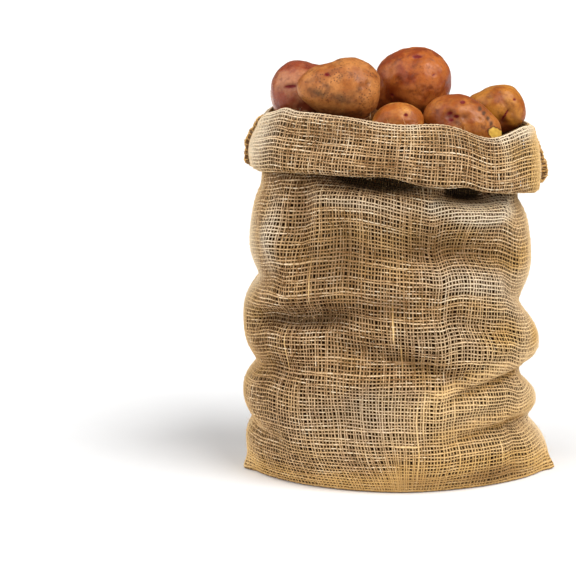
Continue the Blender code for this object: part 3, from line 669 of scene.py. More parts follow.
# Towards the side seams the cloth turns golden and pale, a painted rim light on the sack's edges, and
# solid, each by its own power of the nearness.
PLAIN_GOLD, SIDE_GOLD, GOLD_POWER = 0.12, 0.75, 3.5
SIDE_SOLID, SOLID_POWER = 0.55, 4
SIDE_PALE, PALE_POWER = 0.55, 7
FOOT_SOLID, FOOT_HEIGHT = 0.25, 0.040  # how solid the cloth is at the floor, and how far up that shows


def look_fields(turns, heights, patches, streaks):
    """How gold, solid, pale and shaded the cloth is at some places."""
    side = 1.0 - np.minimum(turns_away(turns, SEAM_TURNS) / PANEL_HALF, 1.0)
    gold = PLAIN_GOLD + SIDE_GOLD * side**GOLD_POWER
    solid = SIDE_SOLID * side**SOLID_POWER + FOOT_SOLID * np.exp(-((heights / FOOT_HEIGHT) ** 2))
    # A painted highlight along the fold at the mouth.
    rim_highlight = np.exp(-(((rim_height(turns) - heights) / RIM_LIT) ** 2))
    pale = RIM_HIGHLIGHT * rim_highlight + SIDE_PALE * side**PALE_POWER
    shade = np.zeros_like(side)
    if streaks:
        under = hem_height(turns) - heights
        shade = HEM_SHADE * np.clip(1.0 - np.abs(under) / HEM_SHADED, 0.0, 1.0)
    near = [(patch, hump(patch, turns, heights)) for patch in patches]
    for streak in streaks:
        path, along = path_height(streak, turns)
        share = along_line(along) * np.exp(-(((heights - path) / streak.half_height) ** 2))
        near.append((streak, share))
        shade = shade + share * streak.shade
    for place, share in near:
        gold, solid, pale = gold + share * place.gold, solid + share * place.solid, pale + share * place.pale
    pale, shade = np.clip(pale, -1.0, 1.0), np.clip(shade, 0.0, 1.0)
    return np.clip(gold, 0.0, 1.0), np.clip(solid, 0.0, 1.0), pale, shade


SLUB_MISS = 0.01  # a thick place further than this share of a turn from every yarn is on the other panel
SLUB_POWER = 4  # how blunt a thick place's ends are


def mark_slubs(turns, heights, for_ends, for_picks):
    """Swells, lightens and gilds the yarns that the tables of thick places name."""
    for mark in UPRIGHTS:
        end = int(np.argmin(np.abs(turns_off(turns[1:-1, 0], mark.turn))))
        if abs(turns_off(turns[1 + end, 0], mark.turn)) > SLUB_MISS:
            continue
        middle, half = 0.5 * (mark.low + mark.high), 0.5 * (mark.high - mark.low)
        share = np.exp(-(((heights[1 + end] - middle) / half) ** SLUB_POWER))
        for field, amount in zip(for_ends, (mark.swell, mark.tone, mark.gold)):
            field[end] += share * amount
    for mark in ACROSS:
        column = int(np.argmin(np.abs(turns_off(turns[:, 0], mark.turn))))
        if abs(turns_off(turns[column, 0], mark.turn)) > SLUB_MISS:
            continue
        pick = int(np.argmin(np.abs(heights[column, 1:-1] - mark.height)))
        share = np.exp(-((turns_off(turns[:, 0], mark.turn) * GIRTH / mark.half_length) ** SLUB_POWER))
        for field, amount in zip(for_picks, (mark.swell, mark.tone, mark.gold)):
            field[pick] += share * amount


# How much the yarns' tones differ from one yarn to the next, and along each yarn.
Tones = namedtuple("Tones", "apart along")
END_TONES, PICK_TONES = Tones(0.25, 0.65), Tones(0.30, 0.75)
WIDTH_KEEP, TONE_KEEP = 0.75, 0.5  # how much of a yarn's width and tone lasts from one crossing to the next
THINNEST, THICKEST = 0.65, 1.5  # limits of a yarn's width, as shares of its usual width
SLUB_RUN = (1.0, 3.5)  # half lengths of a slub, in crossings
SLUB_SWELL, SLUB_TONE = (0.2, 0.7), (0.2, 0.8)  # how much wider and lighter a slub is
EDGE_SWING = 0.3  # how much a yarn swings at a panel's edges, of its swing elsewhere
SOLID_EXTRA = 0.8  # how much more than in proportion a wholly solid place closes


def yarn_variety(rng, ends, picks, look):
    """The width of each end and each pick at its crossings, as a share of its usual one, and their tones."""
    spread = look.thick_and_thin
    thick = 1.0 + wandering(rng, ends, picks + 2, spread, WIDTH_KEEP) + rng.normal(size=(ends, 1)) * spread
    heavy = 1.0 + wandering(rng, picks, ends + 2, spread, WIDTH_KEEP) + rng.normal(size=(picks, 1)) * spread
    tone_e = rng.normal(size=(ends, 1)) * END_TONES.apart
    tone_e = tone_e + wandering(rng, ends, picks + 2, END_TONES.along, TONE_KEEP)
    tone_p = rng.normal(size=(picks, 1)) * PICK_TONES.apart
    tone_p = tone_p + wandering(rng, picks, ends + 2, PICK_TONES.along, TONE_KEEP)
    for width, tone, count, length in ((thick, tone_e, ends, picks), (heavy, tone_p, picks, ends)):
        for _ in range(int(count * look.slubs)):
            yarn, start, run = rng.randint(count), rng.randint(length), rng.uniform(*SLUB_RUN)
            lump = np.exp(-(((np.arange(length + 2) - start) / run) ** 2))
            width[yarn] += lump * rng.uniform(*SLUB_SWELL)
            tone[yarn] += lump * rng.uniform(*SLUB_TONE)
    thick, heavy = np.clip(thick, THINNEST, THICKEST), np.clip(heavy, THINNEST, THICKEST)
    return thick, heavy, tone_e - look.pick_tone, tone_p + look.pick_tone


def weave(name, cloth, picks, look, seed, patches, streaks=()):
    """One object of woven yarns over a stretch of cloth. Ends run along it, and picks run across it.

    Only the wall is given streaks, and only the wall has its folds' shade and the tables' thick places.
    """
    rng = np.random.RandomState(seed)
    ends = look.ends
    u = np.concatenate([[0.0], (np.arange(ends) + 0.5) / ends, [1.0]])
    v = np.concatenate([[0.0], (np.arange(picks) + 0.5) / picks, [1.0]])
    slip_u = wandering(rng, ends + 2, picks + 2, look.uneven / ends)
    slip_v = wandering(rng, picks + 2, ends + 2, look.uneven / picks).T
    slip_u[[0, -1]] = 0.0
    slip_v[:, [0, -1]] = 0.0
    uu, vv = u[:, None] + slip_u, v[None, :] + slip_v
    points, normals = cloth.at(uu, vv)
    across, along = unit(np.gradient(points, axis=0)), unit(np.gradient(points, axis=1))
    over = np.where((np.arange(ends + 2)[:, None] + np.arange(picks + 2)[None, :]) % 2 == 0, 1.0, -1.0)
    over[[0, -1]] *= EDGE_SWING
    over[:, [0, -1]] *= EDGE_SWING
    swing = normals * (over * 0.5 * look.crimp)[..., None]

    turns, heights = cloth.turns(uu), points[..., 2]
    gold, solid, pale, shade = look_fields(turns, heights, patches, streaks)
    thick, heavy, tone_e, tone_p = yarn_variety(rng, ends, picks, look)
    gold_e, gold_p = gold[1:-1].copy(), gold[:, 1:-1].T.copy()
    # Painted shade in the folds' hollows, fading towards the side seams; the wall's alone.
    deep = np.zeros_like(gold)
    if streaks:
        middling = np.minimum(turns_away(turns, SEAM_TURNS) / SIDE_TURNS, 1.0)
        deep = np.clip(folded(turns, heights) / DEEP, 0.0, 1.0) * middling
        mark_slubs(turns, heights, (thick, tone_e, gold_e), (heavy, tone_p, gold_p))
    closed = 1.0 + look.closing * solid * (1.0 + SOLID_EXTRA * solid**2)
    thick, heavy = thick * closed[1:-1], heavy * closed[:, 1:-1].T

    side = cloth.outward
    end_part = flat_yarns(
        points[1:-1] + swing[1:-1],
        across[1:-1] * side,
        normals[1:-1],
        0.5 * look.end_width * thick,
        look.rise * thick**0.5,
        look.sink * thick,
    )
    pick_part = flat_yarns(
        (points[:, 1:-1] - swing[:, 1:-1]).transpose(1, 0, 2),
        -along[:, 1:-1].transpose(1, 0, 2) * side,
        normals[:, 1:-1].transpose(1, 0, 2),
        0.5 * look.pick_width * heavy,
        look.rise * heavy**0.5,
        look.sink * heavy,
    )
    obj = mesh_object(name, *joined([end_part, pick_part]))
    flat_map(obj.data, ends, picks, (len(end_part[2]), len(pick_part[2])))

    def on_yarns(for_ends, for_picks):
        """Values at the crossings, for the three points that each yarn has there."""
        return np.concatenate([np.repeat(for_ends.reshape(-1), 3), np.repeat(for_picks.reshape(-1), 3)])

    set_floats(obj.data, "tone", on_yarns(tone_e, tone_p))
    set_floats(obj.data, "gold", on_yarns(gold_e, gold_p))
    for title, field in (("pale", pale), ("deep", deep), ("shade", shade)):
        set_floats(obj.data, title, on_yarns(field[1:-1], field[:, 1:-1].T))
    # How far each point is from the painted shade at a yarn's edges: 0 at the edges, end_ridge on an upright
    # yarn's ridge and 1 on a level one's.
    ridges = np.concatenate([np.full(tone_e.size, look.end_ridge), np.ones(tone_p.size)])
    set_floats(obj.data, "ridge", np.outer(ridges, [0.0, 1.0, 0.0]))
    return obj


# ---------------- materials


class Shading:
    """Short words for building one material's nodes. One word's result can be given to the next."""

    def __init__(self, name, roughness):
        self.material = bpy.data.materials.new(name)
        self.material.use_nodes = True
        self.tree = self.material.node_tree
        self.tree.nodes.clear()
        self.shader = self.tree.nodes.new("ShaderNodeBsdfPrincipled")
        self.set("Roughness", roughness)
        out = self.tree.nodes.new("ShaderNodeOutputMaterial")
        self.link(self.shader.outputs[0], out.inputs[0])
        self.place = self.tree.nodes.new("ShaderNodeTexCoord").outputs["Object"]

    def link(self, source, target):
        """Links an output to an input."""
        self.tree.links.new(source, target)

    def set(self, socket, value):
        """Sets one of the shader's own values."""
        self.shader.inputs[socket].default_value = value

    def feed(self, socket, source):
        """Links an output to one of the shader's inputs."""
        self.link(source, self.shader.inputs[socket])

    def give(self, value, socket):
        """Gives an input a number, a colour or another node's output."""
        if isinstance(value, (int, float)):
            socket.default_value = value
        elif isinstance(value, tuple):
            socket.default_value = (*value, 1.0)
        else:
            self.link(value, socket)

    def maths(self, operation, *values):
        """The result of one piece of arithmetic."""
        made = self.tree.nodes.new("ShaderNodeMath")
        made.operation = operation
        for value, socket in zip(values, made.inputs):
            self.give(value, socket)
        return made.outputs[0]

    def noise(self, scale, detail=2.0, roughness=0.5):
        """Soft random clouds."""
        made = self.tree.nodes.new("ShaderNodeTexNoise")
        made.inputs["Scale"].default_value = scale
        made.inputs["Detail"].default_value = detail
        made.inputs["Roughness"].default_value = roughness
        self.link(self.place, made.inputs["Vector"])
        return made.outputs["Fac"]

    def cells(self, scale):
        """How far each place is from the nearest of some scattered points."""
        made = self.tree.nodes.new("ShaderNodeTexVoronoi")
        made.inputs["Scale"].default_value = scale
        self.link(self.place, made.inputs["Vector"])
        return made.outputs["Distance"]

    def height(self):
        """The height over the floor."""
        made = self.tree.nodes.new("ShaderNodeSeparateXYZ")
        self.link(self.place, made.inputs[0])
        return made.outputs["Z"]

    def attribute(self, name):
        """The numbers that the mesh's points have under a name."""
        made = self.tree.nodes.new("ShaderNodeAttribute")
        made.attribute_name = name
        return made.outputs["Fac"]

    def between(self, source, low, high, to_low=0.0, to_high=1.0):
        """Where a value lies between low and high, smoothly, as a share or on another scale."""
        made = self.tree.nodes.new("ShaderNodeMapRange")
        made.interpolation_type = "SMOOTHSTEP"
        self.give(source, made.inputs["Value"])
        for socket, value in zip(("From Min", "From Max", "To Min", "To Max"), (low, high, to_low, to_high)):
            made.inputs[socket].default_value = value
        return made.outputs[0]

    def mix(self, share, first, second, blend="MIX"):
        """A share of the second colour over the first."""
        made = self.tree.nodes.new("ShaderNodeMix")
        made.data_type = "RGBA"
        made.blend_type = blend
        self.give(share, made.inputs[0])
        self.give(first, made.inputs[6])
        self.give(second, made.inputs[7])
        return made.outputs[2]

    def bump(self, height, strength, distance, below=None):
        """A small relief, on top of another one where that is given."""
        made = self.tree.nodes.new("ShaderNodeBump")
        made.inputs["Strength"].default_value = strength
        made.inputs["Distance"].default_value = distance
        self.link(height, made.inputs["Height"])
        if below is not None:
            self.link(below, made.inputs["Normal"])
        return made.outputs[0]


def colour(prop):
    """A colour that a user can change, as the plain tuple that Shading takes."""
    return tuple(prop)


# How often each pattern of the hessian comes in a metre.
PATCHES_A_METRE, WARMTH_A_METRE, FIBRES_A_METRE = 22.0, 38.0, 1400.0
TONE_SHARE, USUAL_TONE = 0.24, 0.46  # how much a yarn's own tone shows, and the tone it is added to
GRAIN = 0.55  # how much the patches and the fibres change the tone
WARMTH = 0.9  # how much more golden the cloth is in some places than in others


def hessian_material(name, look, light_share):
    """Jute yarn: fawn on its ridge, painted shade at its edges, brown between its fibres, golden or pale in
    places.
    """
    s = Shading(name, 0.82)
    s.set("Specular IOR Level", 0.18)
    s.set("Sheen Weight", look.sheen)
    s.set("Sheen Roughness", 0.45)
    s.set("Sheen Tint", (*look.gold, 1.0))
    patches, fibres = s.noise(PATCHES_A_METRE, 3.0), s.noise(FIBRES_A_METRE, 2.0)
    tone = s.maths("MULTIPLY_ADD", s.attribute("tone"), TONE_SHARE, USUAL_TONE + light_share)
    tone = s.maths("MULTIPLY_ADD", s.maths("SUBTRACT", patches, 0.5), GRAIN, tone)
    tone = s.maths("MULTIPLY_ADD", s.maths("SUBTRACT", fibres, 0.5), GRAIN, tone)
    yarn = s.mix(s.between(tone, 0.05, 0.55), colour(look.brown), colour(look.fawn))
    yarn = s.mix(s.between(tone, 0.50, 1.00), yarn, colour(look.straw))
    warm = s.maths("MULTIPLY_ADD", s.noise(WARMTH_A_METRE, 2.0), WARMTH, -0.5 * WARMTH)
    gold = s.maths("ADD", s.attribute("gold"), warm)
    yarn = s.mix(s.between(gold, 0.05, 1.05), yarn, s.mix(0.75, yarn, colour(look.gold)))
    # Above 0, pale mixes in the bleach and painted light; below 0 it mixes in brown as painted shade.
    pale = s.attribute("pale")
    yarn = s.mix(s.between(pale, 0.0, 1.0, 0.0, 0.85), yarn, colour(look.bleach_and_painted_light))
    yarn = s.mix(s.between(pale, -1.0, 0.0, 0.75, 0.0), yarn, colour(look.brown))
    # Painted shade in the folds' hollows: brown is multiplied in.
    yarn = s.mix(s.maths("MULTIPLY", s.attribute("deep"), 0.65), yarn, colour(look.brown), "MULTIPLY")
    # Painted shade at each yarn's edges.
    out_of_painted_edge_shade = s.between(s.attribute("ridge"), 0.12, 0.92)
    yarn = s.mix(out_of_painted_edge_shade, s.mix(1.0, yarn, colour(look.edge), "MULTIPLY"), yarn)
    # Painted shadow: near black where shade falls under the cuff, in its pockets and under the crests.
    painted_hollow_shade = s.mix(1.0, yarn, colour(look.painted_hollow_shade), "MULTIPLY")
    s.feed("Base Color", s.mix(s.attribute("shade"), yarn, painted_hollow_shade))
    s.feed("Normal", s.bump(fibres, 0.5, 0.0004))
    return s.material


BASE_PICK_PITCH = 0.0035
WAVE_FACTOR = 20.0  # a wave texture of scale 1 has 20 / (2 pi) waves in a metre


def plain_hessian_material(name, look):
    """Hessian on a plain sheet, under the sack where no eye gets near it: its weave is colour and bump."""
    s = Shading(name, 0.9)
    waves = []
    for direction, pitch in (("X", look.width_across / look.ends), ("Y", BASE_PICK_PITCH)):
        made = s.tree.nodes.new("ShaderNodeTexWave")
        made.bands_direction = direction
        made.inputs["Scale"].default_value = 2.0 * math.pi / (WAVE_FACTOR * pitch)
        made.inputs["Distortion"].default_value = 0.6
        made.inputs["Detail Scale"].default_value = 0.5
        s.link(s.place, made.inputs["Vector"])
        waves.append(made.outputs["Fac"])
    height = s.maths("MAXIMUM", waves[0], waves[1])
    s.feed("Base Color", s.mix(s.between(height, 0.3, 0.9), colour(look.brown), colour(look.fawn)))
    s.feed("Normal", s.bump(height, 0.8, 0.001))
    return s.material


# How often the twine's tones and its fibres come in a metre, and how much a yarn's own tone shows.
TWINE_TONES_A_METRE, TWINE_FIBRES_A_METRE = 260.0, 1600.0
TWINE_TONE_SHARE = 0.16


def thread_material(name, look):
    """Raw jute ends and sewing twine: golden brown, darker in places and lighter in others."""
    s = Shading(name, 0.8)
    s.set("Sheen Weight", look.sheen)
    s.set("Sheen Tint", (*look.gold, 1.0))
    tones = s.noise(TWINE_TONES_A_METRE, 3.0)
    tone = s.maths("MULTIPLY_ADD", s.attribute("tone"), TWINE_TONE_SHARE, tones)
    twine = s.mix(s.between(tone, 0.25, 0.62), colour(look.twine_dark), colour(look.twine))
    s.feed("Base Color", s.mix(s.between(tone, 0.62, 0.95), twine, colour(look.straw)))
    s.feed("Normal", s.bump(s.noise(TWINE_FIBRES_A_METRE, 2.0), 0.5, 0.0004))
    return s.material


# base, warm and dark are colours. blotch and specks are how much dark the large and the small spots have,
# and gloss is the skin's roughness, so a skin with less of it shines more.
Skin = namedtuple("Skin", "base warm dark blotch specks gloss")
SKINS = {
    "left": Skin(
        (0.26, 0.052, 0.020), (0.42, 0.160, 0.070), (0.09, 0.014, 0.008), 0.45, 0.30, 0.22
    ),
    "front_left": Skin(
        (0.32, 0.092, 0.015), (0.48, 0.180, 0.044), (0.10, 0.028, 0.008), 0.60, 0.95, 0.38
    ),
    "big": Skin(
        (0.25, 0.042, 0.006), (0.42, 0.115, 0.020), (0.09, 0.013, 0.003), 0.50, 0.45, 0.28
    ),
    "small": Skin(
        (0.35, 0.090, 0.012), (0.55, 0.220, 0.040), (0.12, 0.022, 0.006), 0.50, 0.55, 0.34
    ),
    "front_right": Skin(
        (0.27, 0.062, 0.010), (0.42, 0.140, 0.024), (0.10, 0.017, 0.006), 0.50, 0.45, 0.28
    ),
    "right": Skin(
        (0.30, 0.074, 0.008), (0.50, 0.190, 0.022), (0.10, 0.018, 0.004), 0.50, 0.50, 0.34
    ),
    "back_left": Skin(
        (0.30, 0.100, 0.025), (0.44, 0.180, 0.050), (0.11, 0.030, 0.010), 0.45, 0.50, 0.38
    ),
    "back_right": Skin(
        (0.29, 0.070, 0.020), (0.41, 0.130, 0.038), (0.10, 0.020, 0.008), 0.45, 0.50, 0.36
    ),
}

# Marks on the potatoes, from each one's centre as its front shows it. A tilt is the rise for each length
# across. An eye is pressed in by its depth, and the skin round it follows as far as press.
Eye = namedtuple("Eye", "potato right up half_wide tilt press depth")
EYES = (
    Eye("left", -0.0080, 0.0108, 0.0050, 0.10, 0.0050, 0.0030),
    Eye("front_left", -0.0100, 0.0159, 0.0018, 0.00, 0.0035, 0.0018),
    Eye("big", 0.0045, 0.0287, 0.0038, 0.00, 0.0060, 0.0034),
    Eye("big", 0.0201, 0.0120, 0.0012, 0.40, 0.0045, 0.0008),
    Eye("big", -0.0200, -0.0080, 0.0015, 0.00, 0.0045, 0.0010),
    Eye("small", 0.0076, 0.0114, 0.0012, 0.00, 0.0040, 0.0015),
    Eye("front_right", -0.0003, 0.0228, 0.0018, 0.00, 0.0055, 0.0022),
    Eye("front_right", -0.0127, 0.0131, 0.0018, 0.20, 0.0080, 0.0038),
    Eye("front_right", -0.0065, 0.0104, 0.0018, 0.00, 0.0060, 0.0034),
    Eye("front_right", -0.0115, 0.0070, 0.0016, 0.00, 0.0060, 0.0020),
    Eye("right", 0.0105, -0.0050, 0.0030, 1.60, 0.0065, 0.0036),
    Eye("right", 0.0196, 0.0094, 0.0012, 0.00, 0.0040, 0.0010),
    Eye("back_left", -0.0100, 0.0100, 0.0014, 0.00, 0.0040, 0.0014),
    Eye("back_right", 0.0100, 0.0100, 0.0014, 0.00, 0.0040, 0.0014),
)
# Dips and creases that are not red, with painted shade in them. One of DIP_DEEP or more is wholly in its
# skin's dark colour.
DIP_DEEP = 0.0026
DIP_REACH = 0.45  # how far the painted shade goes round a dip, as a share of how far it is pressed
DIPS = (
    Eye("front_right", 0.0010, 0.0100, 0.0015, 0.00, 0.0090, 0.0026),
    Eye("front_right", -0.0130, 0.0100, 0.0015, 0.00, 0.0090, 0.0026),
    Eye("front_right", -0.0070, 0.0050, 0.0015, 0.00, 0.0090, 0.0026),
    Eye("front_right", 0.0150, 0.0090, 0.0015, 0.00, 0.0060, 0.0014),
    Eye("front_right", 0.0240, 0.0060, 0.0060, -1.10, 0.0050, 0.0010),
    Eye("big", 0.0045, 0.0250, 0.0070, 0.00, 0.0040, 0.0010),
    Eye("big", 0.0180, -0.0010, 0.0090, -0.25, 0.0040, 0.0008),
    Eye("big", 0.0150, -0.0080, 0.0100, -0.15, 0.0045, 0.0009),
    Eye("big", -0.0080, 0.0100, 0.0080, 0.30, 0.0050, 0.0007),
    Eye("left", -0.0090, 0.0095, 0.0130, 0.08, 0.0060, 0.0018),
    Eye("left", 0.0080, 0.0180, 0.0060, 0.30, 0.0060, 0.0014),
    Eye("front_left", -0.0240, 0.0100, 0.0060, 0.35, 0.0036, 0.0014),
    Eye("front_left", -0.0150, 0.0080, 0.0050, -0.55, 0.0036, 0.0016),
    Eye("front_left", 0.0290, 0.0080, 0.0012, 0.30, 0.0040, 0.0020),
    Eye("front_left", 0.0000, 0.0270, 0.0030, 0.50, 0.0040, 0.0014),
    Eye("front_left", 0.0180, 0.0000, 0.0060, 1.20, 0.0060, 0.0012),
    Eye("front_left", -0.0060, 0.0180, 0.0060, 0.50, 0.0060, 0.0012),
    Eye("right", 0.0080, -0.0120, 0.0015, 0.00, 0.0090, 0.0026),
    Eye("right", 0.0180, -0.0040, 0.0060, -1.50, 0.0120, 0.0014),
    Eye("right", -0.0060, 0.0120, 0.0015, 0.00, 0.0080, 0.0014),
    Eye("small", 0.0100, 0.0040, 0.0060, 0.20, 0.0050, 0.0008),
    Eye("small", -0.0100, 0.0125, 0.0010, 0.00, 0.0035, 0.0008),
)
# Broad places that stand out of a potato's plain shape. One of less than no height sinks in.
Swell = namedtuple("Swell", "potato right up reach height")
SWELLS = (
    Swell("left", 0.0225, 0.0240, 0.0150, 0.0065),
    Swell("big", -0.030, -0.022, 0.024, 0.0080),
    Swell("right", 0.022, -0.012, 0.036, 0.0060),
    Swell("right", -0.006, 0.024, 0.030, -0.0040),
)
EYE_DEEP = 0.0015  # an eye this deep is wholly red
EYE_TALL = 0.0014  # half the height of the red in an eye
EYE_HALO, HALO_RED = 0.0020, 0.35  # how far a weaker red goes round an eye, and how strong it is

# Patches of dried soil, painted shade on some potatoes' lower parts, and a place where the skin is off.
Mark = namedtuple("Mark", "potato right up half_wide half_tall tilt soil peeled")
MARKS = (
    Mark("front_left", -0.0190, -0.0010, 0.0150, 0.0060, -0.25, 0.85, 0.0),
    Mark("front_left", 0.0030, -0.0060, 0.0180, 0.0075, -0.20, 0.80, 0.0),
    Mark("front_left", 0.0000, -0.0230, 0.0320, 0.0060, 0.00, 0.75, 0.0),
    Mark("big", -0.0150, -0.0150, 0.0140, 0.0080, 0.30, 0.45, 0.0),
    # The next two are painted shade on the lower parts of the big and the left potato.
    Mark("big", -0.0050, -0.0290, 0.0400, 0.0130, 0.00, 0.90, 0.0),
    Mark("left", 0.0120, -0.0200, 0.0240, 0.0120, 0.60, 0.80, 0.0),
    Mark("right", 0.0100, -0.0200, 0.0200, 0.0090, 0.00, 0.60, 0.0),
    Mark("left", 0.0040, -0.0060, 0.0120, 0.0060, -0.20, 0.35, 0.0),
    Mark("small", -0.0090, 0.0100, 0.0050, 0.0030, 0.00, 0.35, 0.0),
    Mark("front_right", 0.0160, 0.0169, 0.0026, 0.0026, 0.00, 1.20, 0.0),
    Mark("front_right", 0.0198, 0.0128, 0.0024, 0.0024, 0.00, 1.20, 0.0),
    Mark("front_right", 0.0236, 0.0080, 0.0022, 0.0026, 0.00, 1.20, 0.0),
    Mark("front_right", 0.0268, 0.0030, 0.0022, 0.0034, 0.30, 1.10, 0.0),
    Mark("front_right", 0.0330, -0.0090, 0.0105, 0.0075, -0.60, 0.00, 1.1),
    Mark("right", 0.0070, 0.0100, 0.0120, 0.0060, 0.00, 0.25, 0.0),
)


# How often each pattern of the skins comes in a metre.
BROAD_TONES, SMALL_TONES, BLOTCHES = 45.0, 260.0, 95.0
SPECKS, SPECKED_PLACES, CRUSTS, BARE_PLACES = 400.0, 75.0, 420.0, 160.0
PITS, GRAINS = 330.0, 700.0
FLESH_DEPTH = (0.004, 0.0015, 0.0008)  # how far red, green and blue light go in


def skin_material(name, skin, look):
    """A potato's skin: blotched and specked, with dark red eyes, traces of soil, painted shade and a peeled
    place.
    """
    s = Shading(name, skin.gloss)
    s.set("Specular IOR Level", 0.25)
    s.set("Coat Weight", look.coat)
    s.set("Coat Roughness", 0.30)
    s.set("Subsurface Weight", 0.04)
    s.set("Subsurface Radius", FLESH_DEPTH)
    broad, small = s.noise(BROAD_TONES, 3.0, 0.55), s.noise(SMALL_TONES, 4.0, 0.65)
    tint = s.mix(s.between(broad, 0.40, 0.62), skin.base, skin.warm)
    tint = s.mix(s.between(small, 0.45, 0.80, 0.0, 0.5), tint, skin.dark)
    blotches = s.between(s.noise(BLOTCHES, 4.0, 0.6), 0.54, 0.70, 0.0, skin.blotch)
    tint = s.mix(blotches, tint, skin.dark)
    specks = s.between(s.cells(SPECKS), 0.12, 0.16 + 0.28 * skin.specks, skin.specks, 0.0)
    specked = s.between(s.noise(SPECKED_PLACES, 2.0), 0.40, 0.58, 0.15, 1.0)
    tint = s.mix(s.maths("MULTIPLY", specks, specked), tint, skin.dark)
    # Soil, and painted shade on some potatoes' lower parts, in the soil's colour.
    painted_shade_and_soil_mask = s.maths("MULTIPLY_ADD", s.noise(CRUSTS, 4.0, 0.7), 0.7, s.attribute("soil"))
    tint = s.mix(s.between(painted_shade_and_soil_mask, 0.60, 1.40, 0.0, 0.85), tint, colour(look.soil))
    bare = s.maths("MULTIPLY_ADD", s.noise(BARE_PLACES, 3.0), 0.55, s.attribute("peeled"))
    flesh = s.mix(s.between(small, 0.45, 0.65, 0.0, 0.4), colour(look.flesh), skin.warm)
    tint = s.mix(s.between(bare, 0.66, 0.74), tint, s.mix(s.between(bare, 0.74, 0.90), skin.dark, flesh))
    # Painted shade in the dips and creases.
    tint = s.mix(s.maths("MULTIPLY", s.attribute("dip"), 0.75), tint, skin.dark)
    tint = s.mix(s.between(s.attribute("eye"), 0.10, 0.55), tint, colour(look.eye))
    s.feed("Base Color", tint)
    rough = s.maths("MULTIPLY_ADD", s.between(small, 0.35, 0.75), 0.22, skin.gloss)
    rough = s.maths("MULTIPLY_ADD", s.attribute("soil"), 0.30, rough)
    s.feed("Roughness", s.maths("MULTIPLY_ADD", s.attribute("eye"), 0.50, rough))
    pits = s.bump(s.cells(PITS), 0.15, 0.0006)
    s.feed("Normal", s.bump(s.noise(GRAINS, 3.0, 0.6), 0.30, 0.0005, pits))
    return s.material


HEAP_TONES, HEAP_GRAINS = 40.0, 300.0
HEAP_DEEP, HEAP_LIT = 0.285, 0.315  # the heap's deep shade ends between these heights


def heap_material(name, look):
    """The potatoes deep in the sack, dusty and in shade."""
    s = Shading(name, 0.85)
    s.set("Specular IOR Level", 0.08)
    broad, small = s.noise(HEAP_TONES, 3.0), s.noise(HEAP_GRAINS, 4.0, 0.65)
    tint = s.mix(s.between(broad, 0.40, 0.62), colour(look.heap), colour(look.heap_warm))
    tint = s.mix(s.between(small, 0.45, 0.75, 0.0, 0.7), tint, colour(look.soil))
    s.feed("Base Color", s.mix(s.between(s.height(), HEAP_DEEP, HEAP_LIT), colour(look.deep_heap), tint))
    s.feed("Normal", s.bump(small, 0.4, 0.001))
    return s.material


FLOOR_GRAINS, FLOOR_DARKER = 30.0, 0.97


def floor_material(name, tint):
    """The plain studio floor, a little darker in places."""
    s = Shading(name, 0.9)
    grain = s.noise(FLOOR_GRAINS, 3.0)
    darker = tuple(FLOOR_DARKER * value for value in tint)
    s.feed("Base Color", s.mix(grain, darker, tint))
    return s.material


# ---------------- what a user would change


def length_prop(name, default, description):
    """A length in metres."""
    return FloatProperty(name=name, default=default, description=description, unit="LENGTH", precision=5)


def share_prop(name, default, description):
    """A share of something, 0 or more."""
    return FloatProperty(name=name, default=default, description=description, subtype="FACTOR", min=0.0)


def number_prop(name, default, description):
    """A plain number."""
    return FloatProperty(name=name, default=default, description=description)


def angle_prop(name, degrees, description):
    """An angle, given here in degrees."""
    return FloatProperty(name=name, default=math.radians(degrees), description=description, subtype="ANGLE")


def colour_prop(name, default, description):
    """A colour."""
    return FloatVectorProperty(
        name=name, default=default, description=description, subtype="COLOR", size=3, min=0.0, max=1.0
    )


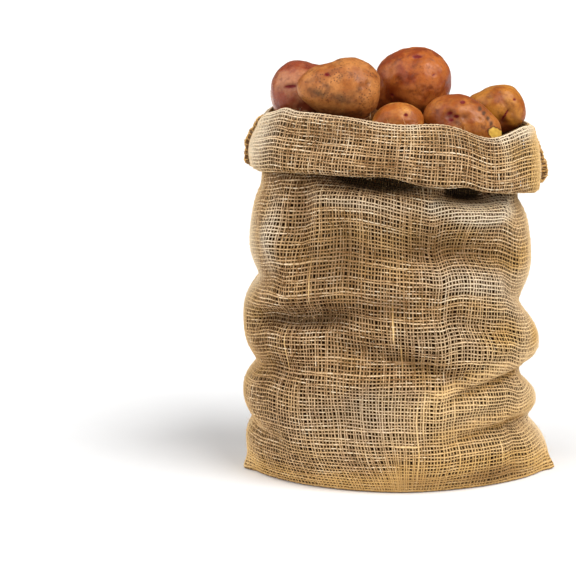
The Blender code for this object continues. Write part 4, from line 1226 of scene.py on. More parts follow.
class HessianLook(bpy.types.PropertyGroup):
    """Sizes and colours of the hessian."""

    ends: IntProperty(name="Ends", default=132, description="Upright yarns in each panel")
    wall_picks: IntProperty(name="Wall picks", default=106, description="Level yarns from floor to mouth")
    cuff_picks: IntProperty(name="Cuff picks", default=30, description="Level yarns in the cuff")
    width_across: length_prop("Panel width", 0.400, "Width of one panel, laid flat")
    end_width: length_prop("End width", 0.00172, "Width of an upright yarn")
    pick_width: length_prop("Pick width", 0.00200, "Width of a level yarn")
    crimp: length_prop("Crimp", 0.00045, "How far a yarn swings as it goes over and under")
    rise: length_prop("Rise", 0.00062, "Height of a yarn's ridge over its middle")
    sink: length_prop("Sink", 0.00018, "Depth of a yarn's edges under its middle")
    uneven: share_prop("Unevenness", 0.13, "How far yarns wander, as a share of their spacing")
    thick_and_thin: share_prop("Thick and thin", 0.14, "How much a yarn's width varies")
    slubs: share_prop("Slubs", 0.25, "Thick places for each yarn")
    # Less than 1 gives the upright yarns' ridges some of the painted edge shade.
    end_ridge: share_prop("End ridge", 0.88, "How light an upright yarn's ridge is beside a level one's")
    pick_tone: share_prop("Pick tone", 0.25, "How much lighter the level yarns are than the upright ones")
    closing: share_prop("Closing", 0.42, "How much wider yarns are where the cloth looks solid")
    sheen: share_prop("Sheen", 0.40, "How hairy the yarns look against the light")
    # Brown is also the painted shade in the folds and where pale is below 0.
    brown: colour_prop("Brown", (0.23, 0.105, 0.034), "The darkest yarns")
    fawn: colour_prop("Fawn", (0.64, 0.405, 0.205), "Most yarns")
    straw: colour_prop("Straw", (0.96, 0.790, 0.550), "The lightest yarns")
    gold: colour_prop("Gold", (0.80, 0.500, 0.165), "Yarns in the golden stretches")
    # Bleached yarns and painted light, in the pale stretches.
    bleach_and_painted_light: colour_prop("Bleached", (0.88, 0.745, 0.545), "Yarns in the pale stretches")
    # Painted shade at each yarn's edges.
    edge: colour_prop("Edge", (0.090, 0.038, 0.016), "What a yarn's colour is multiplied by at its edges")
    # Painted shade: the colour is multiplied by this under the cuff and in the folds' pockets.
    painted_hollow_shade: colour_prop("Hollow", (0.050, 0.028, 0.020), "What the colour is multiplied by in dark hollows")
    twine: colour_prop("Twine", (0.62, 0.360, 0.110), "Raw ends and sewing twine")
    # Dark twine is also the painted shade in the seam allowance's hollow.
    twine_dark: colour_prop("Dark twine", (0.12, 0.050, 0.014), "Raw ends and twine, in their hollows")
    fibres: IntProperty(name="Stray fibres", default=2600, description="Loose hairs on the cloth")
    fibre_radius: length_prop("Fibre radius", 0.00009, "Radius of a loose hair")


class PotatoLook(bpy.types.PropertyGroup):
    """Relief and colours that all the potatoes share."""

    detail: IntProperty(name="Detail", default=3, description="Subdivisions of a potato")
    lumps: length_prop("Lumps", 0.0026, "Height of the soft lumps")
    lump_size: length_prop("Lump size", 0.018, "Breadth of the soft lumps")
    wrinkles: length_prop("Wrinkles", 0.0005, "Height of the fine wrinkles")
    wrinkle_size: length_prop("Wrinkle size", 0.004, "Breadth of the fine wrinkles")
    coat: share_prop("Coat", 0.05, "Gloss over the skin")
    eye: colour_prop("Eye", (0.150, 0.006, 0.004), "The eyes' bottoms")
    # Dried soil, and painted shade on some potatoes' lower parts.
    soil: colour_prop("Soil", (0.055, 0.026, 0.010), "Dried soil")
    flesh: colour_prop("Flesh", (0.85, 0.520, 0.090), "Where the skin is off")
    heap: colour_prop("Heap", (0.20, 0.060, 0.018), "Potatoes under those that show")
    heap_warm: colour_prop("Warm heap", (0.27, 0.120, 0.040), "Their lighter places")
    deep_heap: colour_prop("Deep heap", (0.030, 0.011, 0.004), "Potatoes behind the cloth, in its shade")


class StudioLook(bpy.types.PropertyGroup):
    """The camera, the lights and the floor."""

    camera_place: FloatVectorProperty(
        name="Camera",
        default=(0.0, -1.70, 0.57),
        description="Where the camera stands",
        subtype="TRANSLATION",
    )
    camera_tilt: angle_prop("Tilt", 79.0, "0 looks straight down")
    lens: number_prop("Lens", 108.75, "Focal length in millimetres")
    shift_across: number_prop("Shift across", -0.1927, "Share of the frame's width")
    shift_up: number_prop("Shift up", -0.0933, "Share of the frame's width")
    sky: number_prop("Sky", 0.14, "Strength of the even light from all round")
    sun: number_prop("Sun", 3.6, "Strength of the soft main light, from the right")
    left_sun: number_prop("Left sun", 2.5, "Strength of the soft light from the left")
    sun_spread: angle_prop("Spread", 50.0, "How soft the main light is")
    left_spread: angle_prop("Left spread", 80.0, "How soft the left light is")
    floor: colour_prop("Floor", (0.90, 0.90, 0.90), "The studio floor")


# ---------------- the pieces


def deselect_all():
    """Leaves edit mode, and selects nothing."""
    if bpy.context.mode != "OBJECT":
        bpy.ops.object.mode_set(mode="OBJECT")
    bpy.ops.object.select_all(action="DESELECT")


def only(obj):
    """Selects one object alone, and makes it the active one."""
    deselect_all()
    obj.select_set(True)
    bpy.context.view_layer.objects.active = obj


def put_in_place(piece, material, node):
    """Gives a finished piece its material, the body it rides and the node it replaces."""
    piece.data.materials.clear()
    piece.data.materials.append(material)
    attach(piece, "root")
    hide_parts(node)


# Each half of the cloth runs from one side seam to the other, and its yarns are drawn from their own seed.
Half = namedtuple("Half", "name first_turn last_turn seed")
WALL_HALVES = (Half("hessian_back", 0.0, 0.5, 8), Half("hessian_front", 0.5, 1.0, 7))
CUFF_HALVES = (Half("cuff_back", 0.0, 0.5, 18), Half("cuff_front", 0.5, 1.0, 17))
CUFF_LIGHTER = 0.005  # how much lighter the cuff's tone is


class SACK_OT_weave_wall(bpy.types.Operator):
    """Weaves the front and the back of the sack, from the floor to the mouth"""

    bl_idname = "sack.weave_wall"
    bl_label = "Weave the wall"

    def execute(self, context):
        look = context.scene.hessian
        material = hessian_material("hessian", look, 0.0)
        for half in WALL_HALVES:
            cloth = Cloth(wall_lines, half.first_turn, half.last_turn, RIGHT_SIDE_OUT)
            piece = weave(half.name, cloth, look.wall_picks, look, half.seed, PATCHES, STREAKS)
            put_in_place(piece, material, "sack")
        return {"FINISHED"}


class SACK_OT_weave_cuff(bpy.types.Operator):
    """Weaves the cuff: the mouth turned out and down, and its edge turned in again"""

    bl_idname = "sack.weave_cuff"
    bl_label = "Weave the cuff"

    def execute(self, context):
        look = context.scene.hessian
        material = hessian_material("hessian_inside_out", look, CUFF_LIGHTER)
        for half in CUFF_HALVES:
            cloth = Cloth(cuff_lines, half.first_turn, half.last_turn, INSIDE_OUT)
            piece = weave(half.name, cloth, look.cuff_picks, look, half.seed, CUFF_PATCHES)
            put_in_place(piece, material, "sack")
        return {"FINISHED"}


BASE_POINTS = 112  # round its edge
BASE_INSET = 0.0004  # how far its edge is in from the wall's
BASE_RAISED = 0.0004  # how far it lies over the floor
BASE_THICK = 0.0012


class SACK_OT_lay_base(bpy.types.Operator):
    """Lays the flat bottom of the sack, which stands on the floor"""

    bl_idname = "sack.lay_base"
    bl_label = "Lay the base"

    def execute(self, context):
        turns = np.linspace(0.0, 1.0, BASE_POINTS, endpoint=False)
        floor = np.zeros_like(turns)
        outline = section(turns, floor, ear(turns, floor) - BASE_INSET)
        build = bmesh.new()
        rim = [build.verts.new((x, y, BASE_RAISED)) for x, y, _ in outline]
        bottom = build.faces.new(rim)
        bmesh.ops.triangulate(build, faces=[bottom])
        bmesh.ops.recalc_face_normals(build, faces=build.faces)
        area = sum(face.calc_area() for face in build.faces)
        mesh = bpy.data.meshes.new("sack_base")
        build.to_mesh(mesh)
        build.free()
        piece = bpy.data.objects.new("sack_base", mesh)
        context.scene.collection.objects.link(piece)
        only(piece)
        thick = piece.modifiers.new("thickness", "SOLIDIFY")
        thick.thickness = BASE_THICK
        thick.offset = 1.0 if piece.data.polygons[0].normal.z > 0.0 else -1.0
        bpy.ops.object.modifier_apply(modifier=thick.name)
        put_in_place(piece, plain_hessian_material("hessian_base", context.scene.hessian), "sack")
        return {"FINISHED"}


# How far the raw seam allowance stands out of the cuff at the mouth, at its middle, below that and at its
# end. Its hollow has painted shade from one share of the way down to another. cross_tone is how light its
# frayed ends are.
Allowance = namedtuple("Allowance", "side turn mouth middle below end dark_from dark_to cross_tone")
ALLOWANCES = (
    Allowance("left", 0.5, 0.0046, 0.0044, 0.0036, 0.0050, 0.0, 1.0, -1.2),
    Allowance("right", 0.0, 0.0008, 0.0018, 0.0062, 0.0018, 0.50, 0.84, 0.6),
)
ALLOWANCE_PLACES = (0.0, 0.12, 0.45, 0.74, 0.92, 1.0)  # its two ends, and where the four columns above hold
ALLOWANCE_TAPER = 0.4  # the share of its nearest column that is left at each end
ALLOWANCE_POINTS = 61  # of each long yarn
ALLOWANCE_WALL, ALLOWANCE_CUFF = 5, 52  # how many of the wall's last points and the cuff's first it follows
ALLOWANCE_LAYERS = (-0.0012, 0.0012)  # the two raw edges of the seam, to its front and its back
ALLOWANCE_RANKS = 6  # long yarns in each raw edge
ALLOWANCE_STEP = 0.0021  # from one cross end to the next
ALLOWANCE_ROOT = 0.0012  # how deep in the cuff it is rooted
FRONT_TO_BACK = np.array((0.0, 1.0, 0.0))

# How far the allowance's edge and its yarns stray, and how much of that lasts from one point to the next.
Stray = namedtuple("Stray", "spread keep")
EDGE_STRAY, OUT_STRAY, OFF_STRAY = Stray(0.0005, 0.8), Stray(0.0003, 0.7), Stray(0.0004, 0.7)
RADIUS_STRAY = Stray(0.15, 0.6)
LONG_RADIUS, LONG_SIDES = 0.0009, 5
# The long yarns in the allowance's hollow are darkened there as painted shade.
HOLLOW_SHADE_TONE, LONG_TONE, EDGE_TONE = -2.6, 0.8, 0.6  # of long yarns in the hollow, beside it and outermost

CROSS_POINTS, CROSS_SIDES = 7, 4
CROSS_TALLER = (-0.0006, 0.0012)  # how much taller than the allowance a cross end is
CROSS_LEAN = 0.0008  # how far its tip strays
CROSS_BULGE = 0.5  # how much further to the front or back its middle is, as a share of its layer's place
CROSS_ROOT_RADIUS, CROSS_TIP_RADIUS, CROSS_THICKER = 0.00075, 0.00035, (0.8, 1.2)

LOOP_POINTS, LOOP_SIDES = 12, 5
LOOP_STEPS = 2.2  # cross ends from one overcast stitch to the next
LOOP_CLEAR = 0.0005  # half of how far a stitch goes past the allowance
LOOP_OFF = 0.0024  # how far it goes to the allowance's front and back
LOOP_SLANT = 0.9  # how far a stitch slants each way, in steps of the allowance's points
LOOP_RADIUS, LOOP_TONE = 0.00062, 0.4


def allowance_path(turn, count):
    """The line that a side seam follows over the mouth and down the cuff, and the way out from it."""
    wall = wall_lines(np.array([turn]))[0, -ALLOWANCE_WALL:]
    cuff = cuff_lines(np.array([turn]))[0, :ALLOWANCE_CUFF]
    line, _ = evened(np.concatenate([wall, cuff])[None], count)
    ahead = unit(np.gradient(line[0], axis=0))
    outward = unit(np.cross(ahead, FRONT_TO_BACK))
    if outward[count // 2, 0] * line[0, count // 2, 0] < 0.0:
        outward = -outward
    return line[0], outward


def long_yarns(line, outward, stand, rng):
    """The allowance's yarns that run along the seam, in ranks from the cuff to the raw edge."""
    count = len(line)
    paths, radii = [], []
    for layer in ALLOWANCE_LAYERS:
        for rank in range(ALLOWANCE_RANKS):
            out = stand * (rank / (ALLOWANCE_RANKS - 1.0)) + wandering(rng, 1, count, *OUT_STRAY)[0]
            off = layer + wandering(rng, 1, count, *OFF_STRAY)[0]
            paths.append(line + outward * out[:, None] + FRONT_TO_BACK * off[:, None])
            radii.append(np.full(count, LONG_RADIUS) * (1.0 + wandering(rng, 1, count, *RADIUS_STRAY)[0]))
    return round_yarns(np.array(paths), np.array(radii), LONG_SIDES)


def cross_ends(line, outward, stand, steps, rng):
    """The frayed ends that stand out of the seam."""
    rise = np.linspace(0.0, 1.0, CROSS_POINTS)[:, None]
    thins = np.linspace(CROSS_ROOT_RADIUS, CROSS_TIP_RADIUS, CROSS_POINTS)
    paths, radii = [], []
    for layer in ALLOWANCE_LAYERS:
        off = layer * (1.0 + CROSS_BULGE * np.sin(math.pi * rise))
        for step in range(1, steps):
            i = int(step / steps * (len(line) - 1))
            tall = stand[i] + rng.uniform(*CROSS_TALLER)
            lean = rng.normal(size=3) * CROSS_LEAN
            paths.append(line[i] + outward[i] * (tall * rise) + FRONT_TO_BACK * off + lean * rise**2)
            radii.append(thins * rng.uniform(*CROSS_THICKER))
    return round_yarns(np.array(paths), np.array(radii), CROSS_SIDES)


def overcast_loops(line, outward, stand, steps):
    """The overcast stitches that go round the allowance."""
    bend = np.linspace(-0.5 * math.pi, 1.5 * math.pi, LOOP_POINTS + 1)[:-1]
    paths = []
    for step in range(int(steps / LOOP_STEPS)):
        i = min(int((step + 0.5) * LOOP_STEPS / steps * (len(line) - 1)), len(line) - 2)
        half = 0.5 * stand[i] + LOOP_CLEAR
        out = half + half * np.sin(bend)
        off = LOOP_OFF * np.cos(bend)
        slant = (line[i + 1] - line[i]) * np.linspace(-LOOP_SLANT, LOOP_SLANT, LOOP_POINTS)[:, None]
        paths.append(line[i] + outward[i] * out[:, None] + FRONT_TO_BACK * off[:, None] + slant)
    radii = np.full((len(paths), LOOP_POINTS), LOOP_RADIUS)
    return round_yarns(np.array(paths), radii, LOOP_SIDES)


def allowance_yarns(sewn, rng):
    """The raw seam allowance on one end of the cuff: long yarns, frayed cross ends and overcast stitches."""
    line, outward = allowance_path(sewn.turn, ALLOWANCE_POINTS)
    line = line - outward * ALLOWANCE_ROOT
    down = np.linspace(0.0, 1.0, ALLOWANCE_POINTS)
    first, last = ALLOWANCE_TAPER * sewn.mouth, ALLOWANCE_TAPER * sewn.end
    tall = [first, sewn.mouth, sewn.middle, sewn.below, sewn.end, last]
    stand = np.interp(down, ALLOWANCE_PLACES, tall) + wandering(rng, 1, ALLOWANCE_POINTS, *EDGE_STRAY)[0]
    steps = int(0.5 + np.linalg.norm(np.diff(line, axis=0), axis=1).sum() / ALLOWANCE_STEP)
    parts = [
        long_yarns(line, outward, stand, rng),
        cross_ends(line, outward, stand, steps, rng),
        overcast_loops(line, outward, stand, steps),
    ]
    # Painted shade on the long yarns in the hollow.
    painted_hollow_shade = np.where((down >= sewn.dark_from) & (down <= sewn.dark_to), HOLLOW_SHADE_TONE, LONG_TONE)
    ranks = np.concatenate([np.tile(painted_hollow_shade, ALLOWANCE_RANKS - 1), np.full(ALLOWANCE_POINTS, EDGE_TONE)])
    long_tones = np.repeat(np.tile(ranks, len(ALLOWANCE_LAYERS)), LONG_SIDES)
    tones = [long_tones, np.full(len(parts[1][0]), sewn.cross_tone), np.full(len(parts[2][0]), LOOP_TONE)]
    return parts, np.concatenate(tones)


STITCH_OVER_FLOOR, STITCH_UNDER_CUFF = 0.006, 0.004  # where the stitches start and stop
STITCH_PITCH = 0.0062
STITCH_ACROSS, STITCH_UP = 0.0042, 0.0017  # half its breadth, as a share of a turn, and half its height
STITCH_STRAY = 0.0003  # how far a stitch is off the seam, as a share of a turn
STITCH_PROUD, STITCH_SUNK = 0.0018, 0.0016  # how proud its middle is, and how much less its ends are
STITCH_RADIUS, STITCH_TAPER = 0.00055, 0.4
STITCH_POINTS, STITCH_SIDES = 7, 5


def stitch_yarns(turn, rng):
    """Slanting stitches down a side seam of the wall, from the cuff's lower edge to the floor."""
    paths, radii = [], []
    top = float(hem_height(np.array([turn]))[0])
    for height in np.arange(STITCH_OVER_FLOOR, top - STITCH_UNDER_CUFF, STITCH_PITCH):
        place = np.linspace(-1.0, 1.0, STITCH_POINTS)
        turns = turn + place * STITCH_ACROSS + rng.normal() * STITCH_STRAY
        heights = height + place * STITCH_UP
        proud = STITCH_PROUD - STITCH_SUNK * place**2
        paths.append(section(turns, heights, ear(turns, heights) - drawn_in(turns, heights) + proud))
        radii.append(STITCH_RADIUS * (1.0 - STITCH_TAPER * place**2))
    parts = [round_yarns(np.array(paths), np.array(radii), STITCH_SIDES)]
    return parts, np.zeros(len(parts[0][0]))


SEAM_SEED = 31
SEAM_TONES = 0.4  # how much the seams' tones differ from point to point


class SACK_OT_sew_seams(bpy.types.Operator):
    """Sews the two side seams: stitches down the wall, and the raw seam allowance on the cuff's ends"""

    bl_idname = "sack.sew_seams"
    bl_label = "Sew the seams"

    def execute(self, context):
        rng = np.random.RandomState(SEAM_SEED)
        material = thread_material("jute_twine", context.scene.hessian)
        for sewn in ALLOWANCES:
            for name, (parts, tones) in (
                (f"cuff_seam_{sewn.side}", allowance_yarns(sewn, rng)),
                (f"side_stitches_{sewn.side}", stitch_yarns(sewn.turn, rng)),
            ):
                piece = mesh_object(name, *joined(parts))
                set_floats(piece.data, "tone", tones + rng.normal(size=len(tones)) * SEAM_TONES)
                put_in_place(piece, material, "sack")
        return {"FINISHED"}


# The cloths that stray fibres stand on: the share of the fibres on each half, and how far along it they go.
Hairy = namedtuple("Hairy", "lines halves outward share along")
HAIRY = (
    Hairy(wall_lines, WALL_HALVES, RIGHT_SIDE_OUT, 0.38, 0.985),
    Hairy(cuff_lines, CUFF_HALVES, INSIDE_OUT, 0.12, 0.62),
)
FIBRE_SEED = 43
FIBRE_ACROSS, FIBRE_START = (0.01, 0.99), 0.02  # the shares of the cloth between which fibres start
FIBRE_CLEAR = 0.014  # how far under the cuff the wall's first stray fibres are
FLOOR_CLEAR = 0.0003
FIBRE_POINTS, FIBRE_SIDES = 6, 3
FIBRE_LENGTH, FIBRE_LIFT = (0.004, 0.013), (0.0006, 0.0034)
FIBRE_PROUD, FIBRE_ARCH = 0.0004, 2.2  # how far its root is out of the cloth, and how far round it arches
FIBRE_CURL = 0.0012
FIBRE_THICKER, FIBRE_TIP = (0.7, 1.4), 0.5
FIBRE_TONE = 1.5


def fibres_on(cloth, count, along, radius, rng):
    """Stray fibres on a stretch of cloth up to a share of its length, and none right under the cuff."""
    u, v = rng.uniform(*FIBRE_ACROSS, count), rng.uniform(FIBRE_START, along, count)
    if cloth.outward == RIGHT_SIDE_OUT:
        spot, _ = cloth.at(u, v)
        clear = hem_height(cloth.turns(u)) - spot[:, 2] > FIBRE_CLEAR
        u, v = u[clear], v[clear]
        count = len(u)
    spot, normal = cloth.at(u, v)
    way = rng.normal(size=(count, 3))
    way = unit(way - normal * (way * normal).sum(axis=1, keepdims=True))
    length = rng.uniform(*FIBRE_LENGTH, (count, 1, 1))
    lift = rng.uniform(*FIBRE_LIFT, (count, 1, 1))
    curl = rng.normal(size=(count, 1, 3)) * FIBRE_CURL
    t = np.linspace(0.0, 1.0, FIBRE_POINTS)[None, :, None]
    out = FIBRE_PROUD + lift * np.sin(FIBRE_ARCH * t)
    path = spot[:, None] + normal[:, None] * out + way[:, None] * length * t
    path = path + curl * t**2
    radii = radius * rng.uniform(*FIBRE_THICKER, (count, 1)) * np.linspace(1.0, FIBRE_TIP, FIBRE_POINTS)
    return round_yarns(path, radii, FIBRE_SIDES)


class SACK_OT_pull_fibres(bpy.types.Operator):
    """Pulls stray fibres out of the cloth, as jute is hairy"""

    bl_idname = "sack.pull_fibres"
    bl_label = "Pull stray fibres"

    def execute(self, context):
        look = context.scene.hessian
        rng = np.random.RandomState(FIBRE_SEED)
        parts = []
        for hairy in HAIRY:
            for half in hairy.halves:
                cloth = Cloth(hairy.lines, half.first_turn, half.last_turn, hairy.outward)
                count = int(look.fibres * hairy.share)
                parts.append(fibres_on(cloth, count, hairy.along, look.fibre_radius, rng))
        piece = mesh_object("stray_fibres", *joined(parts))
        points = vertices_of(piece)
        points[:, 2] = np.maximum(points[:, 2], FLOOR_CLEAR)
        move_vertices(piece, points)
        set_floats(piece.data, "tone", np.full(len(piece.data.vertices), FIBRE_TONE))
        put_in_place(piece, thread_material("jute_fibre", look), "sack")
        return {"FINISHED"}


def vertices_of(obj):
    """The places of an object's vertices, as an array."""
    points = np.empty(3 * len(obj.data.vertices), np.float32)
    obj.data.vertices.foreach_get("co", points)
    return points.reshape(-1, 3)


def move_vertices(obj, points):
    """Puts an object's vertices at the places in an array."""
    obj.data.vertices.foreach_set("co", points.astype(np.float32).reshape(-1))
    obj.data.update()


MERGE_WITHIN = 1e-6


def finer_copy(name, node, levels):
    """A copy of a solid, merged and made finer, as an object of its own."""
    piece = bpy.data.objects.new(name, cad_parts[node].data.copy())
    bpy.context.scene.collection.objects.link(piece)
    only(piece)
    bpy.ops.object.mode_set(mode="EDIT")
    bpy.ops.mesh.select_all(action="SELECT")
    bpy.ops.mesh.remove_doubles(threshold=MERGE_WITHIN)
    bpy.ops.object.mode_set(mode="OBJECT")
    finer = piece.modifiers.new("finer", "SUBSURF")
    finer.levels = finer.render_levels = levels
    bpy.ops.object.modifier_apply(modifier=finer.name)
    piece.data.shade_smooth()
    return piece


def roughen(piece, name, height, breadth):
    """Raises and sinks the surface by a soft random relief of some height and breadth."""
    clouds = bpy.data.textures.new(name, "CLOUDS")
    clouds.noise_scale = breadth
    clouds.noise_depth = 1
    relief = piece.modifiers.new(name, "DISPLACE")
    relief.texture = clouds
    relief.texture_coords = "LOCAL"
    relief.strength = height
    relief.mid_level = 0.5
    only(piece)
    bpy.ops.object.modifier_apply(modifier=relief.name)


def front_vertex(points, centre, right, up):
    """The point of a potato's front that shows at some place from its centre."""
    off = np.hypot(points[:, 0] - centre[0] - right, points[:, 2] - centre[2] - up)
    off = off + np.where(points[:, 1] > centre[1], 1.0, 0.0)
    return int(np.argmin(off))


def pull_out(piece, index, height, radius, falloff):
    """Pulls one vertex out along its normal, and its neighbours within a radius after it."""
    outward = piece.data.vertices[index].normal.copy()
    only(piece)
    bpy.ops.object.mode_set(mode="EDIT")
    build = bmesh.from_edit_mesh(piece.data)
    build.verts.ensure_lookup_table()
    for vertex in build.verts:
        vertex.select = False
    build.verts[index].select = True
    build.select_flush_mode()
    bmesh.update_edit_mesh(piece.data)
    bpy.ops.transform.translate(
        value=outward * height,
        use_proportional_edit=True,
        proportional_edit_falloff=falloff,
        proportional_size=radius,
    )
    bpy.ops.object.mode_set(mode="OBJECT")


LONG_EYE = 0.002  # an eye of this half width or more is pressed in at three places, and less at each
LONG_EYE_PLACES, LONG_EYE_SHARE = (-0.8, 0.0, 0.8), 0.65


def press_eye(piece, centre, eye):
    """Presses one eye in, a few times along its length where it is long."""
    places, share = ((0.0,), 1.0) if eye.half_wide < LONG_EYE else (LONG_EYE_PLACES, LONG_EYE_SHARE)
    for place in places:
        right = eye.right + place * eye.half_wide
        up = eye.up + place * eye.half_wide * eye.tilt
        index = front_vertex(vertices_of(piece), centre, right, up)
        pull_out(piece, index, -share * eye.depth, eye.press, "SHARP")


FRONT_FADE = 0.004  # a mark on the front comes in over this depth from the potato's middle


def front_hump(points, centre, mark, half_wide, half_tall):
    """1 at a mark on a potato's front, falling away from it, and 0 on its far side."""
    across = points[:, 0] - centre[0] - mark.right
    up = points[:, 2] - centre[2] - mark.up - mark.tilt * across
    front = np.clip((centre[1] - points[:, 1]) / FRONT_FADE, 0.0, 1.0)
    return np.exp(-((across / half_wide) ** 2) - (up / half_tall) ** 2) * front


def skin_fields(points, centre, eyes, dips, marks):
    """How red, soiled and peeled a potato's skin is at its points, and its painted shade in dips and low
    down.
    """
    red, dark, soil, peeled = (np.zeros(len(points)) for _ in range(4))
    # Painted shade in the dips and creases.
    for dip in dips:
        beyond = DIP_REACH * dip.press
        near = front_hump(points, centre, dip, dip.half_wide + beyond, beyond)
        dark = np.maximum(dark, near * min(1.0, dip.depth / DIP_DEEP))
    for eye in eyes:
        strength = min(1.0, eye.depth / EYE_DEEP)
        for wider, weight in ((0.0, 1.0), (EYE_HALO, HALO_RED)):
            wide, tall = eye.half_wide + 0.5 * EYE_TALL + wider, EYE_TALL + wider
            near = front_hump(points, centre, eye, wide, tall)
            red = np.maximum(red, near * strength * weight)
    for mark in marks:
        near = front_hump(points, centre, mark, mark.half_wide, mark.half_tall)
        soil = np.maximum(soil, near * mark.soil)
        peeled = np.maximum(peeled, near * mark.peeled)
    return {"eye": red, "dip": dark, "soil": soil, "peeled": peeled}


def rows_of(potato, table):
    """The rows of a table that are about one potato."""
    return [row for row in table if row.potato == potato]


class SACK_OT_finish_potatoes(bpy.types.Operator):
    """Finishes the potatoes that show in the mouth: lumps, eyes, blotches, specks, soil and painted shade"""

    bl_idname = "sack.finish_potatoes"
    bl_label = "Finish the potatoes"

    def execute(self, context):
        look = context.scene.potatoes
        for name, skin in SKINS.items():
            node = f"potato_{name}"
            low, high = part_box(node)
            centre = 0.5 * (low + high)
            piece = finer_copy(f"{node}_skin", node, look.detail)
            roughen(piece, "soft lumps", look.lumps, look.lump_size)
            roughen(piece, "fine wrinkles", look.wrinkles, look.wrinkle_size)
            for swell in rows_of(name, SWELLS):
                index = front_vertex(vertices_of(piece), centre, swell.right, swell.up)
                pull_out(piece, index, swell.height, swell.reach, "SMOOTH")
            eyes, dips = rows_of(name, EYES), rows_of(name, DIPS)
            for dip in eyes + dips:
                press_eye(piece, centre, dip)
            fields = skin_fields(vertices_of(piece), centre, eyes, dips, rows_of(name, MARKS))
            for title, field in fields.items():
                set_floats(piece.data, title, field)
            put_in_place(piece, skin_material(f"{node}_skin", skin, look), node)
        return {"FINISHED"}


# The heap's own potatoes, which show between those in the mouth: each one's place, radius and top.
Lump = namedtuple("Lump", "x y radius top")
LUMPS = (
    Lump(-0.096, 0.010, 0.046, 0.344),
    Lump(-0.080, -0.044, 0.036, 0.346),
    Lump(-0.054, -0.044, 0.028, 0.358),
    Lump(0.002, -0.050, 0.034, 0.334),
    Lump(0.056, -0.042, 0.044, 0.326),
    Lump(0.092, 0.018, 0.044, 0.340),
    Lump(0.090, -0.022, 0.030, 0.341),
    Lump(0.014, 0.006, 0.038, 0.351),
    Lump(-0.046, 0.046, 0.042, 0.315),
    Lump(0.050, 0.052, 0.042, 0.310),
    Lump(-0.004, 0.066, 0.030, 0.320),
)
LUMP_FLATNESS = 0.75  # its height, as a share of its breadth
LUMP_DETAIL = 4
LUMP_PROUD = 0.0004  # how far the heap's potatoes stand out of the heap
WALL_GAP = 0.0035  # from the heap's potatoes to the middle of the cloth


def kept_inside(points):
    """Points of the heap, drawn in where they would come too near the wall."""
    place = points - MIDDLE
    heights = place[:, 2]
    left, right = reach("left", heights), reach("right", heights)
    front, back = reach("front", heights), reach("back", heights)
    x = (place[:, 0] - 0.5 * (right - left)) / (0.5 * (left + right))
    y = (place[:, 1] - 0.5 * (back - front)) / (0.5 * (front + back))
    power = 0.5 * reach("squareness", heights)
    angles = np.arctan2(np.sign(y) * np.abs(y) ** power, np.sign(x) * np.abs(x) ** power)
    turns = np.interp(angles % (2.0 * math.pi), ANGLES, SHARES)
    limit = section(turns, heights, -WALL_GAP - drawn_in(turns, heights)) - MIDDLE
    too_far = np.hypot(place[:, 0], place[:, 1]) / np.hypot(limit[:, 0], limit[:, 1])
    place[:, :2] /= np.maximum(too_far, 1.0)[:, None]
    return place + MIDDLE


class SACK_OT_heap_potatoes(bpy.types.Operator):
    """Heaps the potatoes that fill the sack under those that show"""

    bl_idname = "sack.heap_potatoes"
    bl_label = "Heap the potatoes"

    def execute(self, context):
        look = context.scene.potatoes
        material = heap_material("potato_heap", look)
        core = finer_copy("heap_core", "potato_fill", 1)
        move_vertices(core, kept_inside(vertices_of(core)))
        put_in_place(core, material, "potato_fill")
        made = []
        for lump in LUMPS:
            deselect_all()
            middle = lump.top - LUMP_FLATNESS * lump.radius
            place = (lump.x + MIDDLE[0], lump.y + MIDDLE[1], middle)
            radius = lump.radius + LUMP_PROUD
            bpy.ops.mesh.primitive_ico_sphere_add(subdivisions=LUMP_DETAIL, radius=radius, location=place)
            ball = context.object
            bpy.ops.object.mode_set(mode="EDIT")
            bpy.ops.transform.resize(value=(1.0, 1.0, LUMP_FLATNESS), center_override=place)
            bpy.ops.object.mode_set(mode="OBJECT")
            bpy.ops.object.transform_apply(location=True)
            made.append(ball)
        deselect_all()
        for ball in made:
            ball.select_set(True)
        context.view_layer.objects.active = made[0]
        bpy.ops.object.join()
        heap = made[0]
        heap.name = heap.data.name = "heap_potatoes"
        roughen(heap, "heap lumps", 0.5 * look.lumps, look.lump_size)
        move_vertices(heap, kept_inside(vertices_of(heap)))
        heap.data.shade_smooth()
        put_in_place(heap, material, "potato_fill")
        return {"FINISHED"}


SENSOR_WIDTH = 36.0  # the camera's, in millimetres
FLOOR_SIZE, FLOOR_UNDER = 60.0, 0.0004  # how wide the floor is, and how far under the sack
MAIN_LIGHT_PLACE, LEFT_LIGHT_PLACE = (1.50, -0.95, 2.10), (-1.70, -0.80, 1.60)
LIGHTS_AIM = (0.0, 0.0, 0.2)
WHITE = (1.0, 1.0, 1.0, 1.0)


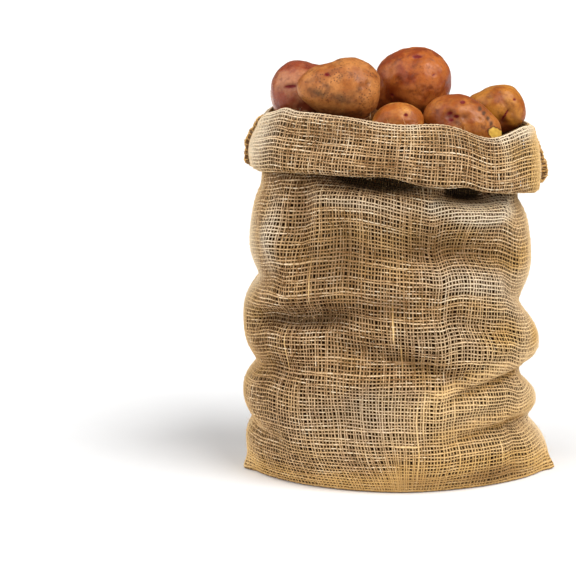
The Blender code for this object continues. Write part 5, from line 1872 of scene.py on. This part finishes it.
class SACK_OT_set_stage(bpy.types.Operator):
    """Sets the floor, the soft studio light and the camera"""

    bl_idname = "sack.set_stage"
    bl_label = "Set the stage"

    def execute(self, context):
        look, scene = context.scene.studio, context.scene
        camera = bpy.data.cameras.new("camera")
        camera.lens, camera.sensor_width = look.lens, SENSOR_WIDTH
        camera.shift_x, camera.shift_y = look.shift_across, look.shift_up
        stand = bpy.data.objects.new("camera", camera)
        stand.location = look.camera_place
        stand.rotation_euler = (look.camera_tilt, 0.0, 0.0)
        scene.collection.objects.link(stand)
        scene.camera = stand

        deselect_all()
        bpy.ops.mesh.primitive_plane_add(size=FLOOR_SIZE, location=(0.0, 0.0, -FLOOR_UNDER))
        floor = context.object
        floor.name = "floor"
        floor.data.materials.append(floor_material("studio_floor", colour(look.floor)))

        world = bpy.data.worlds.new("studio")
        world.use_nodes = True
        background = world.node_tree.nodes["Background"]
        background.inputs[0].default_value = WHITE
        background.inputs[1].default_value = look.sky
        scene.world = world

        self.add_light("main_light", MAIN_LIGHT_PLACE, look.sun, look.sun_spread)
        self.add_light("left_light", LEFT_LIGHT_PLACE, look.left_sun, look.left_spread)
        scene.view_settings.view_transform = "Standard"
        return {"FINISHED"}

    @staticmethod
    def add_light(name, place, strength, spread):
        """A soft light that stands at a place and shines at the sack."""
        light = bpy.data.lights.new(name, "SUN")
        light.energy, light.angle = strength, spread
        stand = bpy.data.objects.new(name, light)
        stand.location = place
        aim = Vector(LIGHTS_AIM) - Vector(place)
        stand.rotation_euler = aim.to_track_quat("-Z", "Y").to_euler()
        bpy.context.scene.collection.objects.link(stand)


OPERATORS = (
    SACK_OT_set_stage,
    SACK_OT_weave_wall,
    SACK_OT_weave_cuff,
    SACK_OT_lay_base,
    SACK_OT_sew_seams,
    SACK_OT_pull_fibres,
    SACK_OT_finish_potatoes,
    SACK_OT_heap_potatoes,
)


class SACK_PT_sidebar(bpy.types.Panel):
    """Lists the sack's operators in the sidebar"""

    bl_idname = "SACK_PT_sidebar"
    bl_label = "Hessian Sack"
    bl_space_type = "VIEW_3D"
    bl_region_type = "UI"
    bl_category = "Sack"

    def draw(self, context):
        """Draws a button for each operator."""
        for operator in OPERATORS:
            self.layout.operator(operator.bl_idname)


CLASSES = (HessianLook, PotatoLook, StudioLook, *OPERATORS, SACK_PT_sidebar)


def register():
    """Tells Blender of the classes, and gives a scene its three groups of properties."""
    for cls in CLASSES:
        bpy.utils.register_class(cls)
    bpy.types.Scene.hessian = PointerProperty(type=HessianLook)
    bpy.types.Scene.potatoes = PointerProperty(type=PotatoLook)
    bpy.types.Scene.studio = PointerProperty(type=StudioLook)


def unregister():
    """Takes the properties and the classes away again."""
    del bpy.types.Scene.hessian, bpy.types.Scene.potatoes, bpy.types.Scene.studio
    for cls in reversed(CLASSES):
        bpy.utils.unregister_class(cls)


def main():
    """Makes the whole object by its operators, in order."""
    register()
    for operator in OPERATORS:
        group, action = operator.bl_idname.split(".")
        getattr(getattr(bpy.ops, group), action)()


if __name__ == "__main__":
    main()
